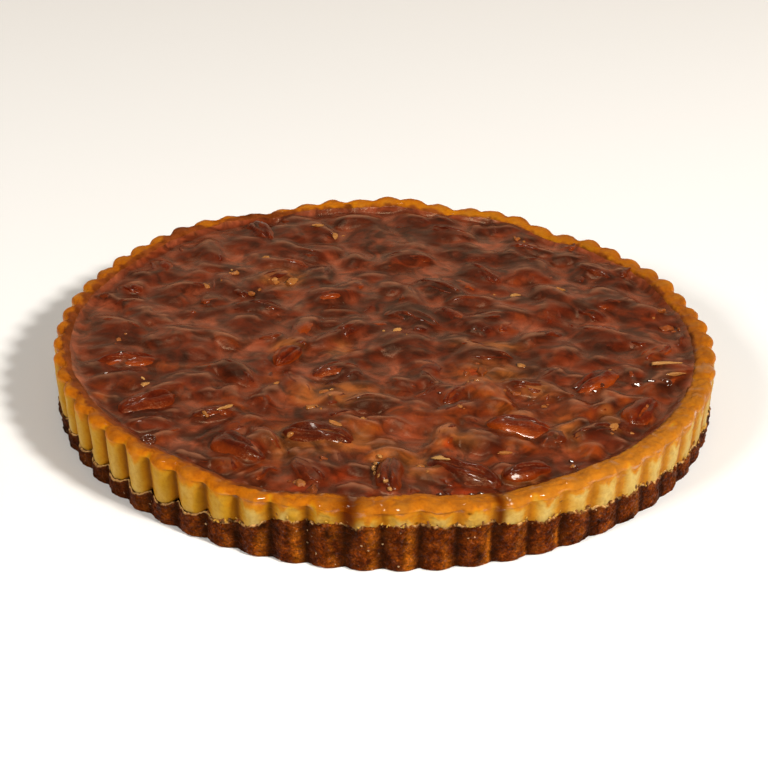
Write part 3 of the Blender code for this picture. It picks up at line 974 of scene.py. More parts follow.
def pose_of(node):
    """Centre, turned axes and sizes of a pecan's solid, from the spread of its points."""
    points = np.unique(np.round(positions(node), 7), axis=0)
    centre = points.mean(axis=0)
    _, _, axes = np.linalg.svd(points - centre)
    along, across, up = axes
    up = up if up[2] > 0 else -up
    along = along if along[0] > 0 else -along
    across = np.cross(up, along)
    frame_axes = np.stack([along, across, up], axis=1)
    local = (points - centre) @ frame_axes
    low, high = local.min(axis=0), local.max(axis=0)
    middle = centre + frame_axes @ ((low + high) / 2)
    return middle, frame_axes, high - low


def warp(points, amount):
    """Pushes points sideways in slow swirls, so that no two nuts keep the same outline."""
    for size, share in ((13 * MM, 1.0), (5 * MM, 0.45), (2.4 * MM, 0.15)):
        for axis in (0, 1):
            points[:, axis] += amount * share * grain(points, size, 1, seed=41 + axis)
    return points


def seat(piece, middle, axes, height):
    """Turns a sculpted nut to these axes, with the middle of its height at this place."""
    points = positions(piece)
    points[:, 2] -= height / 2
    set_positions(piece, warp(points @ axes.T + middle, 1.0 * MM))


# %% [markdown]
# Every solid of the frame says where its nut lies, how it is turned and how big it is. The sculpted
# half is laid there, pushed out of shape a little, and takes the solid's place.

# %% The pecan halves
PROUD_COUNT = 12  # the first of the pecan solids stand proud of the caramel
PROUD_TINTS = (0.7, 0.45, 0.4, 0.15, 0.25, 0.3, 0.85, 0.7, 0.8, 0.7, 0.4, 0.5)
tint_dice = np.random.default_rng(5)


def shape_pecans():
    made = []
    for number, name in enumerate(pecan_names, start=1):
        middle, axes, size = pose_of(nodes[name])
        veiled = number > PROUD_COUNT
        tint = tint_dice.beta(1.3, 2.6) if veiled else PROUD_TINTS[number - 1]
        piece = sculpt_pecan(
            f"{name}_half", *size, seed=number, tint=tint, flat=0.75 if veiled else 1, rough=1.5
        )
        seat(piece, middle, axes, size[2])
        made.append(dress(piece, "pecan", name))
    return made


pecan_halves = shape_pecans()
print(len(pecan_halves), "pecan halves of", len(pecan_halves[0].data.polygons), "faces")

# %% [markdown]
# Between the whole halves the topping is packed with more nuts and broken pieces, which the caramel
# covers. They are strewn by throwing darts: a place counts when it is far enough from the nuts that
# are already there. All of them become one mesh, because nobody picks them apart.

# %% Broken nuts under the caramel
FILLER_TRIES = 5000
FILLER_APART = 0.4  # of the mean length of two neighbours' widths
FILLER_EDGE = 3 * MM
FILLER_LENGTHS = (30, 26, 22, 18, 14)


def strew_fillers():
    dice = np.random.default_rng(23)
    taken = []
    for name in pecan_names:
        middle, axes, size = pose_of(nodes[name])
        taken.append((middle[:2], axes[:2, 0], size[0]))
    pieces = []
    for attempt in range(FILLER_TRIES):
        reach = math.sqrt(dice.uniform()) * (TART_RADIUS - RIM_WIDTH - FILLER_EDGE)
        round_by = dice.uniform(0, math.tau)
        place = np.array([reach * math.cos(round_by), reach * math.sin(round_by)])
        kind = min(len(FILLER_LENGTHS) - 1, attempt * len(FILLER_LENGTHS) // FILLER_TRIES)
        length = FILLER_LENGTHS[kind] * MM * dice.uniform(0.85, 1.1)
        turn = dice.normal(0, 1.0)
        heading = np.array([math.cos(turn), math.sin(turn)])
        if reach + 0.3 * length > TART_RADIUS - RIM_WIDTH:
            continue
        ends = [place + heading * length * share for share in (-0.4, 0, 0.4)]
        clear = True
        for other, along, long in taken:
            spots = [other + along * long * share for share in (-0.35, 0, 0.35)]
            near = min(np.linalg.norm(a - b) for a in ends for b in spots)
            if near < FILLER_APART * 0.25 * (length + long):
                clear = False
                break
        if not clear:
            continue
        taken.append((place, heading, length))
        piece = sculpt_pecan(
            f"filler_{len(pieces)}",
            length,
            length * dice.uniform(0.45, 0.8),
            length * 0.18 + 3 * MM,
            seed=100 + len(pieces),
            tint=dice.beta(1.2, 2.0),
            creased=dice.choice([0.0, 0.4, 1.0]),
            flat=dice.uniform(0.6, 1.0),
            rough=dice.uniform(0.8, 1.8),
            segments=24,
            rings=16,
        )
        level = TART_HEIGHT - CARAMEL_BELOW_RIM
        rise = dice.uniform(-1.2, 1.6) * MM
        lean = Matrix.Rotation(dice.normal(0, 0.5), 3, "X") @ Matrix.Rotation(
            dice.normal(0, 0.2), 3, "Y"
        )
        turned = Matrix.Rotation(turn, 3, "Z") @ lean
        points = positions(piece) @ np.array(turned).T
        points[:, 2] += level + rise - points[:, 2].max()
        points[:, :2] += place
        set_positions(piece, warp(points, 3.5 * MM))
        pieces.append(piece)
    clear_selection()
    for piece in pieces:
        piece.select_set(True)
    bpy.context.view_layer.objects.active = pieces[0]
    bpy.ops.object.join()
    joined = bpy.context.object
    joined.name = joined.data.name = "broken_pecans"
    print(len(pieces), "broken pecans,", len(joined.data.polygons), "faces")
    return dress(joined, "pecan")


broken_pecans = strew_fillers()

# %% [markdown]
# The caramel was poured warm over the nuts. It hangs over each of them like a sheet, thin on the
# crests and deep between, and creeps up the sides of the few that stand proud. To make that sheet,
# the nuts are felt from above on a fine grid, the heights are softened by a few passes of blur, as
# surface tension does, and a round sheet of squares is laid on the result.

# %% Feeling the nuts from above
CELL = 0.6 * MM
HALF_SIDE = 144 * MM
count = int(2 * HALF_SIDE / CELL) + 1
axis_values = np.linspace(-HALF_SIDE, HALF_SIDE, count)
grid_x, grid_y = np.meshgrid(axis_values, axis_values, indexing="ij")


def feel(pieces):
    """The top of these pieces over each point of the grid, and the tint of the nut there."""
    corners, faces, tints = [], [], []
    start = 0
    for piece in pieces:
        here = positions(piece)
        corners.append(here)
        tint = np.empty(len(here), dtype=np.float32)
        piece.data.attributes["tint"].data.foreach_get("value", tint)
        for face in piece.data.polygons:
            faces.append([start + v for v in face.vertices])
            tints.append(tint[face.vertices[0]])
        start += len(here)
    tree = BVHTree.FromPolygons(np.concatenate(corners).tolist(), faces)
    top = np.full(grid_x.shape, -1.0)
    hue = np.zeros(grid_x.shape)
    down = Vector((0, 0, -1))
    for i, j in np.argwhere(np.hypot(grid_x, grid_y) < TART_RADIUS).tolist():
        spot, _, face, _ = tree.ray_cast(Vector((grid_x[i, j], grid_y[i, j], 0.06)), down)
        if spot:
            top[i, j] = spot.z
            hue[i, j] = tints[face]
    return top, hue


def blur(values, size):
    """A Gaussian blur of this size in metres."""
    reach = max(1, int(3 * size / CELL))
    weights = np.exp(-0.5 * (np.arange(-reach, reach + 1) * CELL / size) ** 2)
    weights /= weights.sum()
    padded = np.pad(values, reach, mode="edge")
    rows = sum(w * padded[k : k + values.shape[0], :] for k, w in enumerate(weights))
    return sum(w * rows[:, k : k + values.shape[1]] for k, w in enumerate(weights))


def soft_max(a, b, blend):
    return blend * np.logaddexp(a / blend, b / blend)


def grid_noise(size, octaves, seed, stretch=1.0):
    """Noise on a coarse grid, read out smoothly on the fine one."""
    step = max(1, int(size / CELL / 4))
    xs, ys = grid_x[::step, ::step], grid_y[::step, ::step]
    coarse = np.stack([xs.ravel() / stretch, ys.ravel(), 0 * xs.ravel()], axis=1)
    values = grain(coarse, size, octaves, seed).reshape(xs.shape)
    where = np.arange(count) / step
    low = np.clip(where.astype(int), 0, values.shape[0] - 2)
    part = np.clip(where - low, 0, 1)
    part = part * part * (3 - 2 * part)
    rows = values[low] * (1 - part)[:, None] + values[low + 1] * part[:, None]
    return rows[:, low] * (1 - part) + rows[:, low + 1] * part


grid_angle = np.degrees(np.arctan2(grid_y, grid_x)) % 360
grid_radius = np.hypot(grid_x, grid_y)
ring_share = np.clip(grid_radius / TART_RADIUS, 0, 1)
caramel_level = (
    TART_HEIGHT - CARAMEL_BELOW_RIM + (rim_height(grid_angle) - TART_HEIGHT) * ring_share**3
)
proud_top, proud_tint = feel(pecan_halves[:PROUD_COUNT])
veiled_top, veiled_tint = feel(pecan_halves[PROUD_COUNT:] + [broken_pecans])
print(f"felt {count} x {count} points")

# %% [markdown]
# The sheet follows three rules. It never sinks below its own film on a nut, so a nut's furrows
# show softly through. Between nuts it sags, but only as deep as the pool. And where it meets a nut
# that stands proud, it climbs a little, as syrup does on the side of a spoon.

# %% The sheet of caramel
POOL_DEPTH = 2.1 * MM  # how far the deepest pool lies under the caramel's level
FILM = 0.9 * MM
BARE = 0.5 * MM  # how far a proud nut stands out of its film, where the film is thin
TAN_PATCHES = (  # where the caramel is tan: x, y and half widths in mm
    (-31, -89, 15, 12),
    (-20, -53, 17, 9),
    (44, -33, 14, 9),
    (28, -86, 9, 8),
    (-11, -88, 7, 8),
    (-48, 51, 10, 9),
    (71, -78, 5, 11),
    (44, -10, 13, 5),
    (-41, -15, 6, 8),
    (-19, -14, 5, 6),
    (0, -101, 5, 9),
    (14, -105, 7, 8),
    (63, -48, 7, 5),
    (89, -70, 4, 9),
    (54, -112, 8, 4),
)
RED_PATCHES = (  # where light passes through a nut just under the film
    (-43, -19, 4, 4),
    (38, -33, 3, 3),
    (3, -114, 5, 5),
    (-13, -115, 4, 7),
    (-48, -96, 4, 4),
    (26, -93, 3, 4),
    (-31, -122, 4, 3),
    (28, -121, 7, 5),
)
DARK_PATCHES = (  # where the caramel is darker: x, y and half widths in mm
    (-106, -40, 14, 10),
    (-98, -68, 14, 9),
    (-61, -96, 8, 14),
    (-25, 27, 12, 9),
    (45, -78, 7, 9),
    (9, 19, 9, 8),
    (39, -20, 8, 5),
    (-62, -35, 6, 6),
    (40, 65, 8, 6),
    (-41, -28, 5, 6),
    (96, -38, 6, 6),
    (116, -45, 8, 5),
    (-61, 23, 8, 4),
    (29, 99, 5, 7),
    (-20, -35, 6, 5),
    (-3, 109, 6, 4),
)
# The film is thin at the front, where the nuts' shapes are clear, and thick in the middle.
front_share = np.clip((-10 * MM - grid_y) / (90 * MM), 0, 1)
pool = caramel_level - POOL_DEPTH + 0.7 * MM * grid_noise(20 * MM, 2, seed=32)
bed = np.maximum(veiled_top, pool)
film = FILM * (1.1 - 0.5 * front_share) + 1.3 * MM * grid_noise(24 * MM, 2, seed=31)
patchy_film = 1.5 * MM * grid_noise(9 * MM, 3, seed=35) - BARE
coat = np.maximum(np.maximum(veiled_top + film, pool), proud_top + patchy_film)
sharp_coat = 0.75 * blur(coat, 0.9 * MM) + 0.25 * blur(coat, 3.0 * MM)
soft_coat = 0.45 * blur(coat, 1.5 * MM) + 0.55 * blur(coat, 3.6 * MM)
coat = soft_coat + (sharp_coat - soft_coat) * front_share
caramel_height = soft_max(coat, blur(bed, 1.5 * MM) - 0.2 * MM, 0.4 * MM)
caramel_height += 0.45 * MM * grid_noise(9 * MM, 3, seed=33, stretch=1.9)
caramel_height += 0.06 * MM * grid_noise(2.4 * MM, 2, seed=34, stretch=2.0)
rim_line = hollow_radius(grid_angle)
edge_fall = np.clip((grid_radius - rim_line + 4.5 * MM) / (5.5 * MM), 0, 1)
edge_fall = edge_fall**2 * (3 - 2 * edge_fall)
brim = rim_height(grid_angle)
edge_level = np.clip(blur(caramel_height, 2 * MM), brim - 1.7 * MM, brim - 1.0 * MM)
edge_level = blur(edge_level, 1 * MM) + 0.3 * MM * grid_noise(6 * MM, 2, 40)
caramel_height = caramel_height * (1 - edge_fall) + edge_level * edge_fall
thin_edge = np.clip((grid_radius - rim_line + 1.2 * MM) / (2.4 * MM) + grid_noise(4 * MM, 3, 41), 0, 1)
cover = caramel_height - np.maximum(veiled_top, proud_top)
near_nut = 1 / (1 + np.exp((cover - 1.8 * MM) / (0.3 * MM)))
over_nut = blur(near_nut, 0.9 * MM)
weight = blur((np.maximum(veiled_top, proud_top) > 0).astype(float), 1.5 * MM) + 1e-3
nut_tint = np.where(proud_top > veiled_top, proud_tint, veiled_tint)
# Painted light: the nuts' tint is scaled down towards the back, so they glow orange mostly at the front.
nut_tint = blur(nut_tint, 1.5 * MM) / weight * (0.45 + 0.55 * front_share)
smooth_height = blur(caramel_height, 1.5 * MM)
# Painted highlight: a pale line along the crests, only where the surface falls towards the back, as light
# from behind would catch it.
crest = blur(caramel_height, 0.6 * MM) - blur(caramel_height, 1.4 * MM)
falls_back = np.clip(0.4 - 2.5 * np.gradient(blur(caramel_height, 1.0 * MM), CELL, axis=1), 0, 1)
crest = np.clip(crest / (0.07 * MM) - 0.5, 0, 1) * falls_back * (1 - edge_fall)
# Painted shade: the caramel is darkened where its surface dips below its surroundings.
nook_shade = np.clip((smooth_height - caramel_height) / (0.25 * MM) - 0.2, 0, 1)
nook_shade = blur(nook_shade, 0.6 * MM) * (1 - edge_fall)


def glow(spots, seed):
    """Soft patches with ragged edges, at x and y with half widths along x and y, all in mm."""
    ragged = 1 + 1.2 * grid_noise(6 * MM, 3, seed)
    patches = np.zeros(grid_x.shape)
    for x, y, wide, deep in spots:
        across = ((grid_x / MM - x) / wide) ** 2 + ((grid_y / MM - y) / deep) ** 2
        patches = np.maximum(patches, np.exp(-(across**1.5)))
    return np.clip(patches * ragged, 0, 1)


tan_glow = np.maximum(glow(TAN_PATCHES, seed=37), 0.6 * thin_edge)
red_glow = glow(RED_PATCHES, seed=38)
dark_glow = glow(DARK_PATCHES, seed=39)


def read_grid(values, points):
    """The grid's value at each point, blended from the four around it."""
    u = np.clip((points[:, 0] + HALF_SIDE) / CELL, 0, count - 1.001)
    v = np.clip((points[:, 1] + HALF_SIDE) / CELL, 0, count - 1.001)
    i, j = u.astype(int), v.astype(int)
    a, b = u - i, v - j
    low = values[i, j] * (1 - b) + values[i, j + 1] * b
    high = values[i + 1, j] * (1 - b) + values[i + 1, j + 1] * b
    return low * (1 - a) + high * a


# %% [markdown]
# The glaze is one finish that changes from place to place: cloudy and mauve-brown where the caramel
# is deep, partly as a painted sheen, the nut's own colour where it is thin, tan in patches, painted
# shade in the nooks, and a painted highlight along crests that fall towards the back.

# %% Caramel glaze
def finish_caramel():
    # Soft caramel, poured and set: dark, clear and smooth. In the pools it is painted a cloudy
    # mauve-brown, partly its own colour and partly a sheen, and over a nut the nut's own dark red shows
    # through the thin film.
    made, tree, shader, coords = new_material(
        "poured_caramel_glaze",
        Roughness=0.25,
        IOR=1.47,
        Specular_IOR_Level=0.34,
        Specular_Tint=linear("FFD8A8"),
    )
    over = add(tree, "Attribute", attribute_name="over_nut").outputs["Fac"]
    tint = add(tree, "Attribute", attribute_name="tint").outputs["Fac"]
    crest = add(tree, "Attribute", attribute_name="crest").outputs["Fac"]
    nook_shade = add(tree, "Attribute", attribute_name="nook_shade").outputs["Fac"]
    tan = add(tree, "Attribute", attribute_name="tan_glow").outputs["Fac"]
    red = add(tree, "Attribute", attribute_name="red_glow").outputs["Fac"]
    drift = add(tree, "TexNoise", {"Vector": coords}, Scale=per_mm(26), Detail=5, Roughness=0.6)
    streak = add(
        tree, "TexNoise", {"Vector": coords}, Scale=per_mm(7), Detail=4, Roughness=0.65, Distortion=0.8
    )
    nudge = add(tree, "MapRange", {"Value": streak.outputs["Fac"]}, To_Min=-0.3, To_Max=0.3)
    shade = add(tree, "Math", {0: tint, 1: nudge.outputs[0]}, operation="ADD", use_clamp=True)
    # The pools' colours are partly the caramel's own and partly a painted sheen of the light behind.
    deep = add(
        tree,
        "ValToRGB",
        {"Fac": drift.outputs["Fac"]},
        stops=[(0.3, "4E1B08"), (0.45, "632812"), (0.58, "763721"), (0.72, "884830")],
    )
    nut = add(
        tree,
        "ValToRGB",
        {"Fac": shade.outputs[0]},
        stops=[(0.0, "340B02"), (0.3, "4E1705"), (0.55, "6C2A07"), (0.8, "86420D"), (1.0, "96541A")],
    )
    mixed = add(
        tree, "MixRGB", {"Fac": over, "Color1": deep.outputs["Color"], "Color2": nut.outputs["Color"]}
    )
    tanned = add(
        tree, "MixRGB", {"Fac": tan, "Color1": mixed.outputs["Color"]}, Color2=linear("8A4E22")
    )
    glowing = add(
        tree, "MixRGB", {"Fac": red, "Color1": tanned.outputs["Color"]}, Color2=linear("842A08")
    )
    mottle = add(
        tree, "TexNoise", {"Vector": coords}, Scale=per_mm(11), Detail=3, Roughness=0.5, Distortion=1.5
    )
    mottles = add(
        tree, "ValToRGB", {"Fac": mottle.outputs["Fac"]}, stops=[(0.36, 0.42), (0.5, 1.0), (0.64, 1.55)]
    )
    mottled = add(
        tree,
        "MixRGB",
        {"Color1": glowing.outputs["Color"], "Color2": mottles.outputs["Color"]},
        blend_type="MULTIPLY",
        Fac=0.9,
    )
    # Painted highlight: the crest lines are lightened with this colour.
    ridge_highlight = add(tree, "Math", {0: crest, 1: streak.outputs["Fac"]}, operation="MULTIPLY")
    ridge_highlighted = add(
        tree, "MixRGB", {"Fac": ridge_highlight.outputs[0], "Color1": mottled.outputs["Color"]}, Color2=linear("A86E50")
    )
    with_dip_shade = add(
        tree, "MixRGB", {"Fac": nook_shade, "Color1": ridge_highlighted.outputs["Color"]}, Color2=linear("1E0602")
    )
    sheen = add(tree, "MapRange", {"Value": over}, To_Min=0.24, To_Max=0.4)
    rumple = add(tree, "TexNoise", {"Vector": coords}, Scale=per_mm(2.2), Detail=3, Distortion=1.0)
    bump = add(tree, "Bump", {"Height": rumple.outputs["Fac"]}, Strength=0.35, Distance=0.4 * MM)
    tree.links.new(with_dip_shade.outputs["Color"], shader.inputs["Base Color"])
    tree.links.new(sheen.outputs[0], shader.inputs["Roughness"])
    tree.links.new(bump.outputs["Normal"], shader.inputs["Normal"])
    return made


caramel_finish = finish_caramel()
print("made", caramel_finish.name)

# %% [markdown]
# The sheet is a square grid drawn out to a disc. Its edge goes in under the custard's rim, is folded
# down and closed underneath, and each of its points takes its height from the felt grid.

# %% Shape of the caramel glaze
SHEET_CELLS = 310
SHEET_OVERLAP = 1.4 * MM


def shape_caramel():
    clear_selection()
    bpy.ops.mesh.primitive_grid_add(x_subdivisions=SHEET_CELLS, y_subdivisions=SHEET_CELLS, size=2)
    piece = bpy.context.object
    piece.name = piece.data.name = "caramel_glaze"
    x, y = positions(piece)[:, :2].T
    # The square is drawn out to a disc, row by row, so that its edge is clean.
    disc_x = x * np.sqrt(1 - y * y / 2)
    disc_y = y * np.sqrt(1 - x * x / 2)
    turn = np.degrees(np.arctan2(disc_y, disc_x)) % 360
    share = np.clip(np.hypot(disc_x, disc_y), 0, 1)
    edge = hollow_radius(turn) + SHEET_OVERLAP
    edge += 1.5 * MM * along_rim(turn, 9 * MM, 3, seed=36) * share**8
    points = from_polar(turn, share * edge, 0 * share)
    points[:, 2] = read_grid(caramel_height, points)
    set_positions(piece, points)
    set_attribute(piece, "over_nut", read_grid(over_nut, points))
    set_attribute(piece, "tint", read_grid(nut_tint, points))
    # crest holds the painted highlight along the crests.
    set_attribute(piece, "crest", read_grid(crest, points))
    # The painted nook shade and the darker patches go into one attribute.
    dark = np.maximum(nook_shade * 0.55, dark_glow * 0.55)
    set_attribute(piece, "nook_shade", read_grid(dark, points))
    set_attribute(piece, "tan_glow", read_grid(tan_glow, points) * 0.75)
    set_attribute(piece, "red_glow", read_grid(red_glow, points) * 0.8)
    clear_selection()
    piece.select_set(True)
    bpy.context.view_layer.objects.active = piece
    bpy.ops.object.mode_set(mode="EDIT")
    bpy.ops.mesh.select_all(action="SELECT")
    bpy.ops.mesh.region_to_loop()
    bpy.ops.mesh.extrude_edges_move(TRANSFORM_OT_translate={"value": (0, 0, -4 * MM)})
    bpy.ops.transform.resize(value=(0.975, 0.975, 0), center_override=(0, 0, 20 * MM))
    bpy.ops.mesh.edge_face_add()
    bpy.ops.mesh.select_all(action="SELECT")
    bpy.ops.mesh.normals_make_consistent(inside=False)
    bpy.ops.object.mode_set(mode="OBJECT")
    bpy.ops.object.shade_smooth()
    piece.data.materials.append(caramel_finish)
    return dress(piece, "caramel", "caramel_topping")


caramel_glaze = shape_caramel()
print("caramel:", len(caramel_glaze.data.polygons), "faces")


# %% [markdown]
# Bits of broken nut lie on the caramel, stuck fast. Where a pecan breaks, its pale flesh shows, and
# that is what catches the eye. Each bit is a small ball cut into by noise until it is angular. Its
# place is listed, and its height is read from the sheet of caramel.

# %% Broken bits of nut
def finish_flesh():
    # Toasted pecan flesh: pale, fatty and dull where it broke, stained amber by the caramel.
    made, tree, shader, coords = new_material(
        "toasted_pecan_flesh", Roughness=0.45, IOR=1.45, Specular_IOR_Level=0.3, Coat_Weight=0.15
    )
    tone = add(tree, "Attribute", attribute_name="tone").outputs["Fac"]
    mottle = add(tree, "TexNoise", {"Vector": coords}, Scale=per_mm(2), Detail=4, Roughness=0.7)
    nudge = add(tree, "MapRange", {"Value": mottle.outputs["Fac"]}, To_Min=-0.35, To_Max=0.35)
    shade = add(tree, "Math", {0: tone, 1: nudge.outputs[0]}, operation="ADD", use_clamp=True)
    flesh = add(
        tree,
        "ValToRGB",
        {"Fac": shade.outputs[0]},
        stops=[(0.0, "541E06"), (0.3, "7E3E12"), (0.6, "945E2A"), (1.0, "B28850")],
    )
    tree.links.new(flesh.outputs["Color"], shader.inputs["Base Color"])
    return made


flesh_finish = finish_flesh()
BITS = (  # x and y in mm, length in mm, how pale
    (-35, -86, 4.5, 0.8),
    (15, -105, 4.5, 0.7),
    (-24, -50, 5.5, 0.7),
    (-44, -45, 3.5, 0.6),
    (-96, -48, 6.0, 0.9),
    (-30, -118, 6.5, 0.6),
    (-25, -122, 8.0, 0.2),
    (89, -76, 5.5, 0.8),
    (57, -26, 5.0, 0.7),
    (53, -48, 5.0, 0.4),
    (38, -42, 4.0, 0.7),
    (40, -32, 8.0, 0.2),
    (5, 1, 5.0, 0.8),
    (62, 100, 5.0, 0.5),
    (78, 45, 5.5, 0.8),
    (58, 41, 6.0, 0.7),
    (120, 25, 6.0, 0.5),
    (122, 12, 8.0, 0.3),
    (-80, 40, 5.0, 0.6),
    (-70, 55, 6.0, 0.8),
    (-60, 35, 5.5, 0.7),
    (-25, 98, 5.0, 0.6),
    (-43, 50, 9.0, 0.7),
    (-50, 47, 5.0, 0.8),
    (-28, -62, 6.5, 0.5),
    (-22, -104, 4.0, 0.3),
    (72, -102, 3.5, 0.7),
    (-56, 70, 4.0, 0.6),
    (104, -60, 3.5, 0.5),
    (-8, -76, 3.0, 0.8),
    (64, -58, 3.0, 0.6),
    (-112, -12, 3.5, 0.5),
    (30, -64, 3.0, 0.5),
)
SLIVERS = (  # x, y, turn in degrees, length, width in mm, how pale
    (22, -103, -30, 10.0, 3.2, 1.0),
    (116, -24, -4, 15.0, 2.0, 0.8),
    (118, -34, -8, 12.0, 1.8, 0.7),
    (-62, -70, 35, 7.0, 2.0, 0.8),
    (-69, -74, -50, 5.0, 1.6, 0.6),
    (-33, 104, 25, 7.0, 2.4, 0.7),
    (92, -30, 40, 5.0, 1.5, 0.7),
    (-18, -79, -12, 8.0, 1.8, 0.6),
    (47, -94, 15, 7.0, 1.6, 0.5),
)
BEAD_LINE = ((-1, -100), (-2.5, -104), (-3, -108), (-2.5, -112), (-1, -116), (1.5, -120), (3, -123))


def carve_bit(name, place, turn, size, sink, seed, tone):
    """An angular lump of this length, width and thickness, lying on the caramel."""
    clear_selection()
    bpy.ops.mesh.primitive_ico_sphere_add(subdivisions=3, radius=0.5)
    piece = bpy.context.object
    piece.name = piece.data.name = name
    ball = positions(piece)
    cuts = np.random.default_rng(seed).normal(size=(9, 3))
    cuts /= np.linalg.norm(cuts, axis=1)[:, None]
    for cut in cuts:
        over = np.clip(ball @ cut - 0.34, 0, None)
        ball -= over[:, None] * cut
    ball *= 1 + 0.25 * grain(ball, 0.35, 2, seed=seed % 13)[:, None]
    ball = ball * np.array(size)
    tilt = Matrix.Rotation(turn, 3, "Z") @ Matrix.Rotation(0.35 * cuts[0, 0], 3, "Y")
    ball = ball @ np.array(tilt).T
    here = read_grid(caramel_height, np.array([[place[0], place[1], 0]]))[0]
    ball += np.array([place[0], place[1], here + sink])
    set_positions(piece, ball)
    set_attribute(piece, "tone", np.full(len(ball), tone))
    return piece


def scatter_bits():
    dice = np.random.default_rng(77)
    made = []
    for x, y, long, pale in BITS:
        for extra in range(3):
            share = 1.0 if extra == 0 else dice.uniform(0.25, 0.5)
            drift = dice.normal(0, 0.0 if extra == 0 else 0.55 * long, 2)
            size = np.array([1.0, 0.7, 0.5]) * long * share * MM
            place = np.array([x, y]) * MM + drift * MM
            turn = dice.uniform(0, math.pi)
            tone = pale * dice.uniform(0.6, 1.1)
            made.append(
                carve_bit("bit", place, turn, size, -0.08 * size[0], len(made) + 300, tone)
            )
    for x, y, turn, long, wide, pale in SLIVERS:
        size = np.array([long, wide, 1.6]) * MM
        place = np.array([x, y]) * MM
        made.append(
            carve_bit("bit", place, math.radians(turn), size, 0.3 * MM, len(made) + 300, pale)
        )
    for x, y in BEAD_LINE:
        size = np.array([2.6, 2.0, 1.8]) * MM * dice.uniform(0.7, 1.15)
        place = np.array([x, y]) * MM
        made.append(
            carve_bit("bit", place, dice.uniform(0, 3), size, 0.5 * MM, len(made) + 300, 0.75)
        )
    clear_selection()
    for piece in made:
        piece.select_set(True)
    bpy.context.view_layer.objects.active = made[0]
    bpy.ops.object.join()
    joined = bpy.context.object
    joined.name = joined.data.name = "broken_bits"
    bpy.ops.object.shade_smooth()
    joined.data.materials.append(flesh_finish)
    print(len(made), "bits,", len(joined.data.polygons), "faces")
    return dress(joined, "pecan")


broken_bits = scatter_bits()

# %% [markdown]
# Flat beads of syrup stand on the caramel and mirror the lamps as small white lights. Each bead is a
# low lens of syrup, so flat that its light is wide enough to see.

# %% Beads of clear syrup
SHINES = (  # x, y and length in mm
    (114.5, -40, 6.0),
    (108.5, -39.5, 4.0),
    (103.3, -40, 5.0),
    (87, -43.5, 4.5),
    (85, -47, 3.0),
    (78, -43.5, 3.0),
    (59, -72.5, 4.0),
    (62, -75, 3.5),
    (36.7, -124, 4.0),
    (33, -123, 2.5),
    (21.6, -123.7, 3.5),
    (-109, -24.5, 5.0),
    (-105, -24.5, 3.5),
    (-102, -68, 3.5),
    (-88.5, -93.7, 2.5),
    (-2, -103, 3.0),
    (22.5, -53, 2.5),
    (-39, -23, 2.5),
    (71.5, -99, 3.0),
    (72.5, -103, 2.5),
    (-27.5, -63, 2.5),
    (-112.5, -43.5, 2.5),
)


def finish_syrup():
    # Clear syrup that ran out of the caramel: amber, wet and perfectly smooth, so the eye gets a
    # hard white light on a dark ground.
    made, tree, shader, coords = new_material(
        "clear_wet_syrup",
        Roughness=0.06,
        IOR=1.5,
        Specular_IOR_Level=0.5,
        Coat_Weight=1.0,
        Coat_Roughness=0.04,
    )
    swirl = add(tree, "TexNoise", {"Vector": coords}, Scale=per_mm(3), Detail=2)
    amber = add(
        tree, "ValToRGB", {"Fac": swirl.outputs["Fac"]}, stops=[(0.35, "341204"), (0.65, "54220A")]
    )
    tree.links.new(amber.outputs["Color"], shader.inputs["Base Color"])
    return made


BUBBLE = (-88.5, -94.0, 2.3, 0.6)  # x, y, radius and thickness of a burst bubble's ring in mm


def ring_bubble():
    clear_selection()
    x, y, radius, thick = BUBBLE
    high = read_grid(caramel_height, np.array([[x, y, 0]]) * MM)[0]
    bpy.ops.mesh.primitive_torus_add(
        major_segments=32,
        minor_segments=12,
        major_radius=radius * MM,
        minor_radius=thick * MM,
        location=(x * MM, y * MM, high + 0.3 * MM),
        rotation=(0.25, 0.1, 0),
    )
    bpy.ops.object.transform_apply(location=True, rotation=True, scale=True)
    piece = bpy.context.object
    ring = positions(piece)
    ring[:, 2] += 0.35 * MM * grain(ring, 1.6 * MM, 2, seed=3)
    set_positions(piece, ring)
    bpy.ops.object.shade_smooth()
    return piece


def bead_syrup():
    dice = np.random.default_rng(61)
    made = []
    for x, y, long in SHINES:
        clear_selection()
        bpy.ops.mesh.primitive_uv_sphere_add(segments=20, ring_count=12, radius=0.5)
        piece = bpy.context.object
        ball = positions(piece) * np.array([long, 0.55 * long, 0.15 * long]) * MM
        ball += 0.03 * long * MM * grain(ball, 0.4 * long * MM, 1, seed=len(made))[:, None]
        # Each bead faces the half-way direction between the lamp behind the tart and the camera, so that it
        # mirrors that lamp as a glint.
        lamp_camera_half_way = Vector((-0.08 - 0.0012 * x, -0.385, 0.915)).to_track_quat("Z", "Y").to_matrix()
        spin = lamp_camera_half_way @ Matrix.Rotation(dice.uniform(-0.4, 0.4), 3, "Z")
        ball = ball @ np.array(spin).T + np.array([x, y, 0]) * MM
        ball[:, 2] += read_grid(caramel_height, np.array([[x, y, 0]]) * MM)[0] + 0.15 * MM
        set_positions(piece, ball)
        bpy.ops.object.shade_smooth()
        made.append(piece)
    made.append(ring_bubble())
    clear_selection()
    for piece in made:
        piece.select_set(True)
    bpy.context.view_layer.objects.active = made[0]
    bpy.ops.object.join()
    joined = bpy.context.object
    joined.name = joined.data.name = "syrup_beads"
    joined.data.materials.append(finish_syrup())
    return dress(joined, "caramel")


syrup_beads = bead_syrup()
print(len(SHINES), "beads of syrup")


# %% [markdown]
# The camera stands in front of the tart and looks down on it at 29 degrees, with a long lens so that
# the far rim is nearly as wide as the near one. It leans over by a little more than a degree.

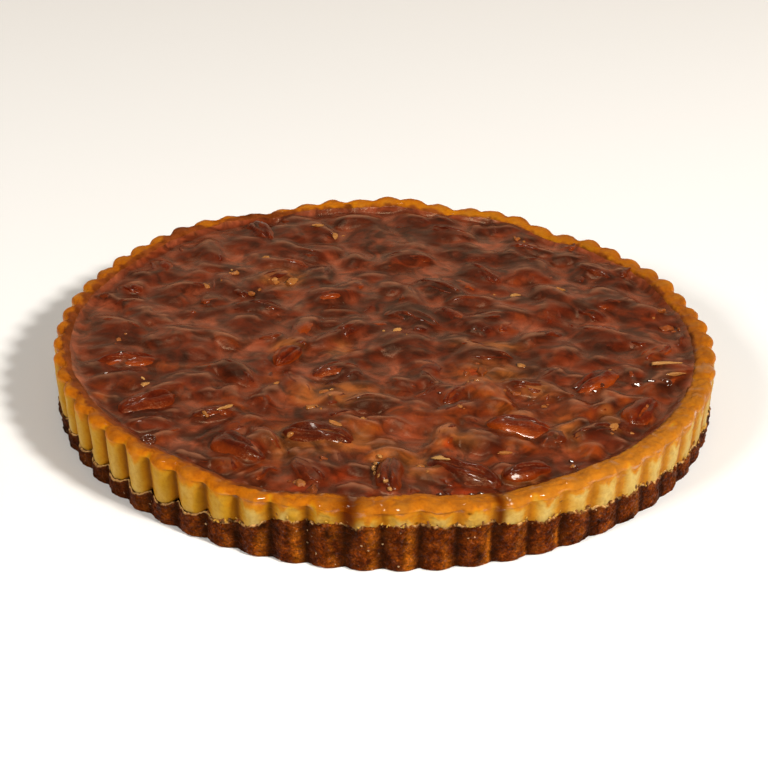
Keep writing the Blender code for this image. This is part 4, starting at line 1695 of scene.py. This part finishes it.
# %% Camera, light and floor
CAMERA_DISTANCE = 0.7435
CAMERA_ELEVATION = 29.35
CAMERA_LENS = 80.3
CAMERA_ROLL = 1.34


def place_camera():
    data = bpy.data.cameras.new("camera")
    data.lens = CAMERA_LENS
    camera = bpy.data.objects.new("camera", data)
    bpy.context.scene.collection.objects.link(camera)
    high = math.radians(CAMERA_ELEVATION)
    place = Vector((0, -math.cos(high), math.sin(high))) * CAMERA_DISTANCE
    aim = (-place).to_track_quat("-Z", "Y").to_matrix().to_4x4()
    lean = Matrix.Rotation(math.radians(CAMERA_ROLL), 4, "Z")
    camera.matrix_world = Matrix.Translation(place) @ aim @ lean
    bpy.context.scene.camera = camera


def area_light(name, place, aim, size, power, colour, glossy=True, diffuse=True):
    data = bpy.data.lights.new(name, "AREA")
    data.shape = "RECTANGLE"
    data.size, data.size_y = size
    data.energy = power
    data.color = linear(colour)[:3]
    light = bpy.data.objects.new(name, data)
    bpy.context.scene.collection.objects.link(light)
    light.location = place
    light.visible_glossy = glossy
    light.visible_diffuse = diffuse
    light.rotation_euler = (Vector(aim) - Vector(place)).to_track_quat("-Z", "Y").to_euler()


place_camera()
area_light("window", (0.0, 1.3, 0.56), (0, 0, 0.56), (2.6, 1.08), 5.0, "FFD8AC")
area_light("key", (1.5, -1.15, 1.5), (0, 0, 0), (0.35, 0.35), 78, "FFF4E4", glossy=False)
area_light("fill", (-1.5, -1.3, 1.3), (0, 0, 0), (0.5, 0.5), 36, "FFF4E4", glossy=False)
area_light("spark_left", (-0.55, -1.3, 1.0), (0, 0, 0), (0.26, 0.26), 18, "FFF6EA", diffuse=False)
area_light("lamp", (-0.25, 0.5, 1.9), (0, 0, 0), (0.26, 0.26), 7.0, "FFF6EA", diffuse=False)
area_light("spark_right", (0.75, -1.2, 1.2), (0, 0, 0), (0.26, 0.26), 18, "FFF6EA", diffuse=False)

world = bpy.data.worlds.new("studio")
bpy.context.scene.world = world
world.use_nodes = True
world.node_tree.nodes["Background"].inputs["Color"].default_value = linear("FFF6E6")
world.node_tree.nodes["Background"].inputs["Strength"].default_value = 0.09

clear_selection()
bpy.ops.mesh.primitive_plane_add(size=8, location=(0, 0, -0.0002))
floor = bpy.context.object
floor.name = "floor"
# Matt white paper: it throws soft light back up the side and has no gloss of its own.
floor_finish, floor_tree, floor_shader, _ = new_material("white_paper_floor", Roughness=0.9)
floor_shader.inputs["Base Color"].default_value = linear("F0F6FF")
floor.data.materials.append(floor_finish)
bpy.context.scene.view_settings.view_transform = "Standard"
